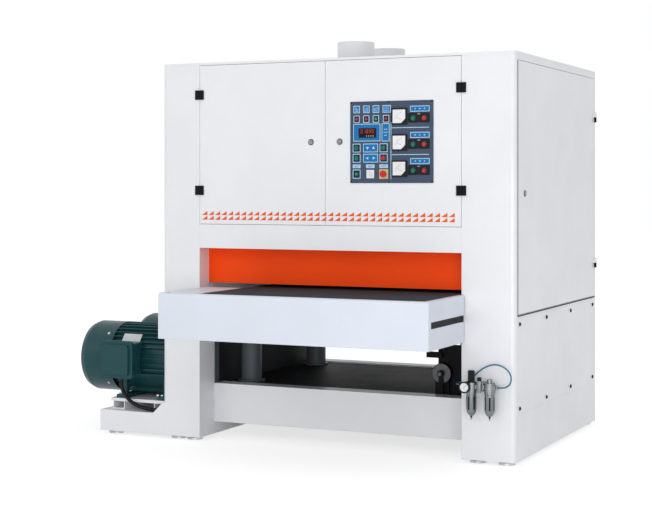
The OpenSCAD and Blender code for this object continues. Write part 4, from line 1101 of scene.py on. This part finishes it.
class SANDER_OT_hinges(bpy.types.Operator):
    """Screw the square hinge leaves to the columns and doors"""
    bl_idname = "sander.hinges"
    bl_label = "Hinge screws"

    def execute(self, context):
        left, right = HINGE_LINES
        for node, body, places in (
                ("fixed_hinge_leaves", "frame", (left - LEAF_REACH, right + LEAF_REACH)),
                ("left_door_leaves", "left_door", (left + LEAF_REACH,)),
                ("right_door_leaves", "right_door", (right - LEAF_REACH,))):
            shape = Shape()
            for z in HINGE_HEIGHTS:
                for x in places:
                    for side in (-1, 1):
                        place = at(x, LEAF_FACE, z + side * LEAF_SCREW_RISE)
                        shape.screw(place, FRONT, PANEL_SCREW_R, "black")
            shape.done(node + "_screws", body)
        return {"FINISHED"}


# The motors' fittings, in millimetres from a motor's free end, its axis and the floor
COWL_SCREW_X = 182
COWL_SCREW_R = 10
LID_CORNER = (229, -322, 344)
LID_SCREW_R = 6
LID_SCREWS_X = (11, 215)
LID_SCREWS_Z = (11, 209)
EYE_X = 470
EYE_SEAT = 205
EYE_BOSS = 16
EYE_RISE = 36
EYE_RING = 20
EYE_WIRE = 6
FOOT_BOLTS_X = (298, 328, 553, 583)
FOOT_BOLT_Y = 195
FOOT_BOLT_Z = 235
FOOT_BOLT_R = 11
FOOT_BOLT_H = 10
NAME_PLATE_X = 357
NAME_PLATE_ANGLE = 142
NAME_PLATE_SIZE = (125, 56, 1.6)
NAME_PLATE_R = 210.5


class SANDER_OT_motor_fittings(bpy.types.Operator):
    """Fit the motors' lid screws, cowl screws, lifting eyes, foot bolts and blank plates"""
    bl_idname = "sander.motor_fittings"
    bl_label = "Motor fittings"

    def execute(self, context):
        shape = Shape()
        for y in (MOTOR_Y, MOTOR_Y + MOTOR_PITCH):
            self.motor(shape, y)
        shape.done("motor_fittings", "frame")
        return {"FINISHED"}

    def motor(self, shape, y):
        for k in range(4):
            out = ray(45 + 90 * k, BACK)
            shape.screw(at(MOTOR_X + COWL_SCREW_X, y, MOTOR_Z) + out * MOTOR_R * MM, out, COWL_SCREW_R * MM)
        x, dy, z = LID_CORNER
        for dx in LID_SCREWS_X:
            for dz in LID_SCREWS_Z:
                shape.screw(at(MOTOR_X + x + dx, y + dy, z + dz), FRONT, LID_SCREW_R * MM, "motor")
        seat = at(MOTOR_X + EYE_X, y, MOTOR_Z + EYE_SEAT)
        shape.rod(seat, UP, EYE_BOSS * MM, EYE_BOSS * MM, "motor", 24, 0.002)
        shape.eye(seat + move(z=EYE_RISE * MM), EYE_RING * MM, EYE_WIRE * MM, "motor")
        for dx in FOOT_BOLTS_X:
            for side in (-1, 1):
                base = at(MOTOR_X + dx, y + side * FOOT_BOLT_Y, FOOT_BOLT_Z)
                shape.rod(base, UP, FOOT_BOLT_H * MM, FOOT_BOLT_R * MM, "zinc", 6, 0.001)
        out = ray(NAME_PLATE_ANGLE, BACK)
        along = ray(NAME_PLATE_ANGLE + 90, BACK)
        middle = at(MOTOR_X + NAME_PLATE_X, y, MOTOR_Z) + out * NAME_PLATE_R * MM
        size = [side * MM for side in NAME_PLATE_SIZE]
        shape.plate(middle, turned_to(RIGHT, along, out), size, "plate")


# The air unit


class SANDER_OT_knob(bpy.types.Operator):
    """Build the regulator's ribbed knob"""
    bl_idname = "sander.knob"
    bl_label = "Regulator knob"

    RIBS = 28

    def execute(self, context):
        lo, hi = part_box("regulator_knob")
        base = at(AIR_X[0], AIR_Y, KNOB_SEAT)
        h = hi.z - base.z
        r = (hi.x - lo.x) / 2
        shape = Shape()
        shape.turned([(0, h), (r * 0.72, h), (r * 0.86, h * 0.97), (r * 0.86, h * 0.12), (r * 0.98, h * 0.10),
                      (r * 0.98, 0.0), (0, 0.0)], base, UP, "black_plastic")
        for k in range(self.RIBS):
            foot = base + ray(360 * k / self.RIBS, RIGHT, BACK) * r * 0.88 + move(z=h * 0.14)
            shape.rod(foot, UP, h * 0.80, r * 0.09, "black_plastic", 8)
        knob = shape.done("regulator_handwheel", "regulator_knob")
        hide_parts("regulator_knob")
        return {"FINISHED"}


class SANDER_OT_gauge(bpy.types.Operator):
    """Build the pressure gauge with its dial, scale, needle and stem"""
    bl_idname = "sander.gauge"
    bl_label = "Pressure gauge"

    CASE_DEPTH = 0.016
    STEM_R = 0.006
    # The scale, from its zero clockwise, and the needle's place, in degrees
    SCALE_MARKS = 24
    SCALE_ZERO = 225
    SCALE_SWEEP = 270
    NEEDLE_ANGLE = 48

    def execute(self, context):
        lo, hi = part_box("pressure_gauge")
        r = (hi.x - lo.x) / 2
        d = self.CASE_DEPTH
        face = Vector(((lo.x + hi.x) / 2, lo.y, (lo.z + hi.z) / 2))
        back = face + move(y=d)
        shape = Shape()
        shape.turned([(0, 0.0), (r * 0.86, 0.0), (r * 0.97, 0.002), (r * 0.97, d * 0.72), (r, d * 0.78),
                      (r, d * 0.95), (r * 0.95, d), (r * 0.86, d), (r * 0.84, d * 0.80), (0, d * 0.80)],
                     back, FRONT, "black_plastic")
        dial = face + move(y=d * 0.2)
        shape.turned([(0, 0.0004), (r * 0.74, 0.0004), (r * 0.74, 0)], dial, FRONT, "dial")
        self.scale(shape, dial - move(y=0.0004), r)
        shape.rod(back, BACK, hi.y - back.y - 0.0005, self.STEM_R, "lock", 6)
        piece = shape.done("pressure_gauge_dial", "frame")
        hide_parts("pressure_gauge")
        return {"FINISHED"}

    def scale(self, shape, front, r):
        """Marks over three quarters of a turn, a needle and its cap."""
        for k in range(self.SCALE_MARKS + 1):
            out = ray(self.SCALE_ZERO - self.SCALE_SWEEP * k / self.SCALE_MARKS)
            shape.rod(front + out * r * 0.56, out, r * (0.14 if k % 4 == 0 else 0.08), 0.0003, "ink", 4)
        out = ray(self.NEEDLE_ANGLE)
        shape.rod(front - out * 0.005 - move(y=0.0008), out, r * 0.66, 0.0011, "ink", 6, tip=0.0004)
        shape.rod(front, FRONT, 0.0016, 0.0022, "cast", 16)


class SANDER_OT_bowls(bpy.types.Operator):
    """Build the guarded bowls with their sight slots and drains"""
    bl_idname = "sander.bowls"
    bl_label = "Air bowls"

    BOWL_R = 0.027
    BOWL_DEPTH = 0.130
    SLOT_SIZE = (0.009, 0.0044, 0.070)
    SLOT_MIDDLE = -0.064
    DRAIN_NUT = 0.012
    # Sight slots of the regulator's and the lubricator's bowl, and the turn of each set in degrees
    SLOTS = ((4, -14), (3, 20))
    SLOT_STEP = 68

    def execute(self, context):
        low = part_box("air_bowls")[0].z
        shape = Shape()
        for x, slots in zip(AIR_X, self.SLOTS):
            self.bowl(shape, at(x, AIR_Y, BOWL_TOP), low, *slots)
        piece = shape.done("bowl_guards", "frame")
        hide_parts("air_bowls")
        return {"FINISHED"}

    def bowl(self, shape, top, low, count, turn):
        r, depth = self.BOWL_R, self.BOWL_DEPTH
        shape.turned([(0, 0), (r, 0), (r, 0.016), (r * 0.94, 0.018), (r * 0.94, 0.106), (r * 0.80, 0.118),
                      (r * 0.45, depth), (0, depth)], top, DOWN, "guard_metal", steps=48)
        for k in range(count):
            angle = self.SLOT_STEP * (k - 1) + turn
            out = ray(angle - 90, RIGHT, BACK)
            side = ray(angle, RIGHT, BACK)
            middle = top + out * r * 0.90 + move(z=self.SLOT_MIDDLE)
            shape.plate(middle, turned_to(side, out, UP), self.SLOT_SIZE, "screen")
        shape.rod(top - move(z=depth), DOWN, self.DRAIN_NUT, 0.0055, "black_plastic", 12, 0.001)
        drain = top - move(z=depth + self.DRAIN_NUT)
        shape.rod(drain, DOWN, drain.z - low, 0.0035, "cast", 12, 0.0006, tip=0.0024)


class SANDER_OT_fittings(bpy.types.Operator):
    """Fit the air unit's collars, sight dome, bracket and ports"""
    bl_idname = "sander.fittings"
    bl_label = "Air fittings"

    def execute(self, context):
        shape = Shape()
        for x in AIR_X:
            shape.turned([(0.0282, 0.000), (0.0302, 0.002), (0.0302, 0.009), (0.0282, 0.011)],
                         at(x, AIR_Y, BOWL_TOP), UP, "cast", steps=48)
        shape.turned([(0.0, 0.0), (0.0288, 0.0), (0.0288, -0.005), (0.0, -0.005)],
                     at(AIR_X[0], AIR_Y, COLLAR_Z), UP, "black_plastic")
        shape.turned([(0, 0.0), (0.008, 0.0), (0.010, -0.002), (0.010, -0.010)],
                     at(AIR_X[1], AIR_Y, DOME_Z), UP, "sight")
        bracket = at(sum(AIR_X) / 2, BRACKET_Y, BRACKET_Z)
        shape.block(bracket + move(-0.009, 0, -0.040), bracket + move(0.009, 0.012, 0.034), "cast", 0.002)
        shape.block(bracket + move(-0.010, -0.002, 0.020), bracket + move(0.010, 0.014, 0.040),
                    "black_plastic", 0.002)
        port = at(*HOSE_PORT)
        shape.rod(port, RIGHT, 0.008, 0.0092, "lock", 6, 0.0006)
        shape.rod(port + move(x=0.008), RIGHT, 0.006, 0.0075, "black_plastic", 20, 0.0006)
        shape.rod(at(*BULKHEAD), LEFT, 0.007, 0.0095, "lock", 6, 0.0006)
        shape.done("air_fittings", "frame")
        return {"FINISHED"}


# Trim of the table and the cabinet, in millimetres

# A black strip in the slot along the apron's right side, painted shade in the slot, and the plug in the
# table's top
SLOT_SHADE_LO = (1864.2, -500, 754)
SLOT_SHADE_HI = (1865.0, -10, 788)
PLUG_PLACE = (330, -480, 895)
# Screws of the side cover, and of the roof
COVER_X = 2154
COVER_SCREWS_Y = (62, 551.3, 1040.7, 1530)
COVER_SCREWS_Z = (300, 745)
COVER_SCREW_R = 11
ROOF_SCREWS_X = (300, 1795)
ROOF_SCREWS_Y = (60, 1570)
ROOF_Z = 2185
ROOF_SCREW_R = 6
# Corners of the two black strips in the gaps beside the side door's front and bottom edges: painted shade in
# the gaps
GAP_SHADE_STRIPS = (((2149.5, 33.5, 785), (2151.4, 41, 2139)), ((2149.5, 41, 785), (2151.4, 1594, 793)))
# Locks: ring, door, middle and direction
LOCK_RINGS = (
    ("left_lock_ring", "left_door", (961, 0, 1720), FRONT),
    ("right_lock_ring", "right_door", (1137, 0, 1720), FRONT),
    ("side_lock_ring", "side_door", (2150, 161, 1435), RIGHT),
)
# A dark sheet behind the front beam, and a dark post along its edge: painted shade on the left column's inner
# side under the table
SHADE_SHEET = ((248.3, 226, 308), (249.3, 1600, 640))
SHADE_SHEET_POST = ((248.3, 174, 317), (252.3, 226, 640))
GEAR_MIDDLE = (1620, 308, 430)
GEAR_BOLT_RING = 41
CRANK_NUT = (1620, 284, 430)


class SANDER_OT_table_trim(bpy.types.Operator):
    """Fit a black strip in the slot on the apron's side, painted shade in the slot, and the plug in the
    table's top
    """
    bl_idname = "sander.table_trim"
    bl_label = "Table trim"

    def execute(self, context):
        shape = Shape()
        # The black strip stands for the shade inside the slot: painted shade
        shape.block(at(*SLOT_SHADE_LO), at(*SLOT_SHADE_HI), "black")
        plug = [(0, 0.0008), (0.010, 0.0006), (0.012, 0)]
        shape.turned(plug, at(*PLUG_PLACE), UP, "black_plastic", 20)
        shape.done("table_trim", "table")
        return {"FINISHED"}


class SANDER_OT_cabinet_screws(bpy.types.Operator):
    """Screw on the side cover and the roof"""
    bl_idname = "sander.cabinet_screws"
    bl_label = "Cabinet screws"

    def execute(self, context):
        shape = Shape()
        for y in COVER_SCREWS_Y:
            for z in COVER_SCREWS_Z:
                shape.screw(at(COVER_X, y, z), RIGHT, COVER_SCREW_R * MM, "black")
        for x in ROOF_SCREWS_X:
            for y in ROOF_SCREWS_Y:
                shape.screw(at(x, y, ROOF_Z), UP, ROOF_SCREW_R * MM)
        shape.done("cabinet_screws", "frame")
        return {"FINISHED"}


class SANDER_OT_gap_shade_strips(bpy.types.Operator):
    """Lay black strips in the gaps beside the side door's front and bottom edges, as painted shade in the
    gaps
    """
    bl_idname = "sander.seals"
    bl_label = "Side door gap shade"

    def execute(self, context):
        shape = Shape()
        for lo, hi in GAP_SHADE_STRIPS:
            # Black strips standing for the shade in the gaps: painted shade
            shape.block(at(*lo), at(*hi), "cable", 0.0005, 1)
        shape.done("side_door_gap_shade", "frame")
        return {"FINISHED"}


class SANDER_OT_lock_rings(bpy.types.Operator):
    """Seat a dark ring round each of the three locks"""
    bl_idname = "sander.lock_rings"
    bl_label = "Lock rings"

    def execute(self, context):
        for name, door, centre, axis in LOCK_RINGS:
            shape = Shape()
            shape.turned([(0.0132, 0.0), (0.0132, 0.0028), (0.0150, 0.0034), (0.0175, 0.0020), (0.0178, 0.0),
                          (0.0132, 0.0)], at(*centre), axis, "dark_metal")
            shape.done(name, door)
        return {"FINISHED"}


class SANDER_OT_bay_shade_sheet(bpy.types.Operator):
    """Cover the left column's inner side under the table with a dark sheet and a dark edge post, as painted
    shade
    """
    bl_idname = "sander.bay_liner"
    bl_label = "Bay shade sheet"

    def execute(self, context):
        shape = Shape()
        # The dark sheet and the grey-dark post are painted shade in the bay under the table
        shape.block(at(*SHADE_SHEET[0]), at(*SHADE_SHEET[1]), "deck")
        shape.block(at(*SHADE_SHEET_POST[0]), at(*SHADE_SHEET_POST[1]), "posts", 0.001, 1)
        shape.done("bay_liner", "frame")
        return {"FINISHED"}


class SANDER_OT_gear_face(bpy.types.Operator):
    """Face the lifting gear's disc, with its bolts and crank nut"""
    bl_idname = "sander.gear_face"
    bl_label = "Gear face"

    def execute(self, context):
        shape = Shape()
        centre = at(*GEAR_MIDDLE)
        disc = [(0.0, 0.0), (0.0, 0.0010), (0.0535, 0.0010), (0.0545, 0.0)]
        shape.turned(disc, centre, FRONT, "gear", 64)
        for k in range(6):
            bolt = centre + ray(30 + 60 * k) * GEAR_BOLT_RING * MM - move(y=0.001)
            shape.rod(bolt, FRONT, 0.004, 0.0048, "dark_metal", 6, 0.0004)
        nut = at(*CRANK_NUT)
        shape.rod(nut, FRONT, 0.010, 0.013, "gear", 6, 0.001)
        shape.rod(nut - move(y=0.010), FRONT, 0.006, 0.007, "dark_metal", 20, 0.0006)
        shape.done("gear_disc_face", "frame")
        return {"FINISHED"}


# The stage: the floor's and the sky's strengths, and the lamps in metres and watts

FLOOR_SIZE = 40.0
FLOOR_COLOUR = (0.86, 0.86, 0.87, 1)
FLOOR_GLOW = 1.45
FLOOR_GLOW_SHARE = 0.5
SKY_LIGHT = 0.72
SKY_SEEN = 1.0
SUN_STRENGTH = 0.35
SUN_SPREAD = 40
SUN_AIM = (0.25, 0.86, -0.50)
BOX_SIZE = (5.0, 2.0)
BOX_POWER = 165
BOX_PLACE = (3.2, -6.6, 0.6)
BOX_TARGET = (0.4, 0, 0.6)
WHITE = (1, 1, 1, 1)


class SANDER_OT_stage(bpy.types.Operator):
    """Lay the pale floor and set the soft studio light"""
    bl_idname = "sander.stage"
    bl_label = "Stage"

    def execute(self, context):
        self.floor(context)
        self.sky(context)
        self.lights(context)
        context.scene.view_settings.view_transform = "Standard"
        return {"FINISHED"}

    def seen_directly(self, tree):
        """1 for camera, glossy and transmission rays."""
        path = add_node(tree, "ShaderNodeLightPath").outputs
        seen = math_node(tree, "MAXIMUM", path["Is Camera Ray"], path["Is Glossy Ray"])
        return math_node(tree, "MAXIMUM", seen, path["Is Transmission Ray"])

    def floor(self, context):
        bm = bmesh.new()
        bmesh.ops.create_grid(bm, x_segments=1, y_segments=1, size=FLOOR_SIZE)
        mesh = bpy.data.meshes.new("studio_floor")
        bm.to_mesh(mesh)
        bm.free()
        floor = bpy.data.objects.new("studio_floor", mesh)
        context.scene.collection.objects.link(floor)
        material = bpy.data.materials.new("Studio Floor")
        material.use_nodes = True
        tree = material.node_tree
        tree.nodes.remove(tree.nodes["Principled BSDF"])
        plain = add_node(tree, "ShaderNodeBsdfDiffuse", {"Color": FLOOR_COLOUR})
        white = add_node(tree, "ShaderNodeEmission", {"Color": WHITE, "Strength": FLOOR_GLOW})
        share = math_node(tree, "MULTIPLY", self.seen_directly(tree), FLOOR_GLOW_SHARE)
        blend = add_node(tree, "ShaderNodeMixShader", {0: share, 1: plain.outputs[0], 2: white.outputs[0]})
        tree.links.new(blend.outputs[0], tree.nodes["Material Output"].inputs[0])
        mesh.materials.append(material)

    def sky(self, context):
        world = bpy.data.worlds.new("Studio")
        context.scene.world = world
        world.use_nodes = True
        tree = world.node_tree
        back = tree.nodes["Background"].inputs
        back[0].default_value = WHITE
        tree.links.new(remap(tree, self.seen_directly(tree), 0, 1, SKY_LIGHT, SKY_SEEN), back[1])

    def lights(self, context):
        sun = bpy.data.lights.new("front_sun", "SUN")
        sun.energy = SUN_STRENGTH
        sun.angle = math.radians(SUN_SPREAD)
        box = bpy.data.lights.new("front_box", "AREA")
        box.shape = "RECTANGLE"
        box.size, box.size_y = BOX_SIZE
        box.energy = BOX_POWER
        box_aim = Vector(BOX_TARGET) - Vector(BOX_PLACE)
        for light, place, aim in ((sun, (0, 0, 0), Vector(SUN_AIM)), (box, BOX_PLACE, box_aim)):
            lamp = bpy.data.objects.new(light.name, light)
            lamp.location = place
            lamp.rotation_euler = aim.to_track_quat("-Z", "Y").to_euler()
            context.scene.collection.objects.link(lamp)


class SANDER_PT_dressing(bpy.types.Panel):
    """Lists the colours, the sizes and the steps that dress the machine"""
    bl_idname = "SANDER_PT_dressing"
    bl_label = "Sander Dressing"
    bl_space_type = "VIEW_3D"
    bl_region_type = "UI"
    bl_category = "Sander"

    def draw(self, context):
        for group in (context.scene.sander_colours, context.scene.sander_sizes):
            for key in group.__annotations__:
                self.layout.prop(group, key)
        for step in STEPS:
            self.layout.operator(step.bl_idname)


STEPS = (
    SANDER_OT_materials, SANDER_OT_camera, SANDER_OT_cords, SANDER_OT_finishes, SANDER_OT_stripes,
    SANDER_OT_tiles, SANDER_OT_display, SANDER_OT_stations, SANDER_OT_lamps, SANDER_OT_panel_screws,
    SANDER_OT_meters, SANDER_OT_hinges, SANDER_OT_motor_fittings, SANDER_OT_knob, SANDER_OT_gauge,
    SANDER_OT_bowls, SANDER_OT_fittings, SANDER_OT_table_trim, SANDER_OT_cabinet_screws, SANDER_OT_gap_shade_strips,
    SANDER_OT_lock_rings, SANDER_OT_bay_shade_sheet, SANDER_OT_gear_face, SANDER_OT_stage,
)
CLASSES = (SanderColours, SanderSizes, *STEPS, SANDER_PT_dressing)


def register():
    for cls in CLASSES:
        bpy.utils.register_class(cls)
    bpy.types.Scene.sander_colours = PointerProperty(type=SanderColours)
    bpy.types.Scene.sander_sizes = PointerProperty(type=SanderSizes)


def unregister():
    del bpy.types.Scene.sander_sizes
    del bpy.types.Scene.sander_colours
    for cls in reversed(CLASSES):
        bpy.utils.unregister_class(cls)


def main():
    register()
    for step in STEPS:
        space, name = step.bl_idname.split(".")
        getattr(getattr(bpy.ops, space), name)()


if __name__ == "__main__":
    main()
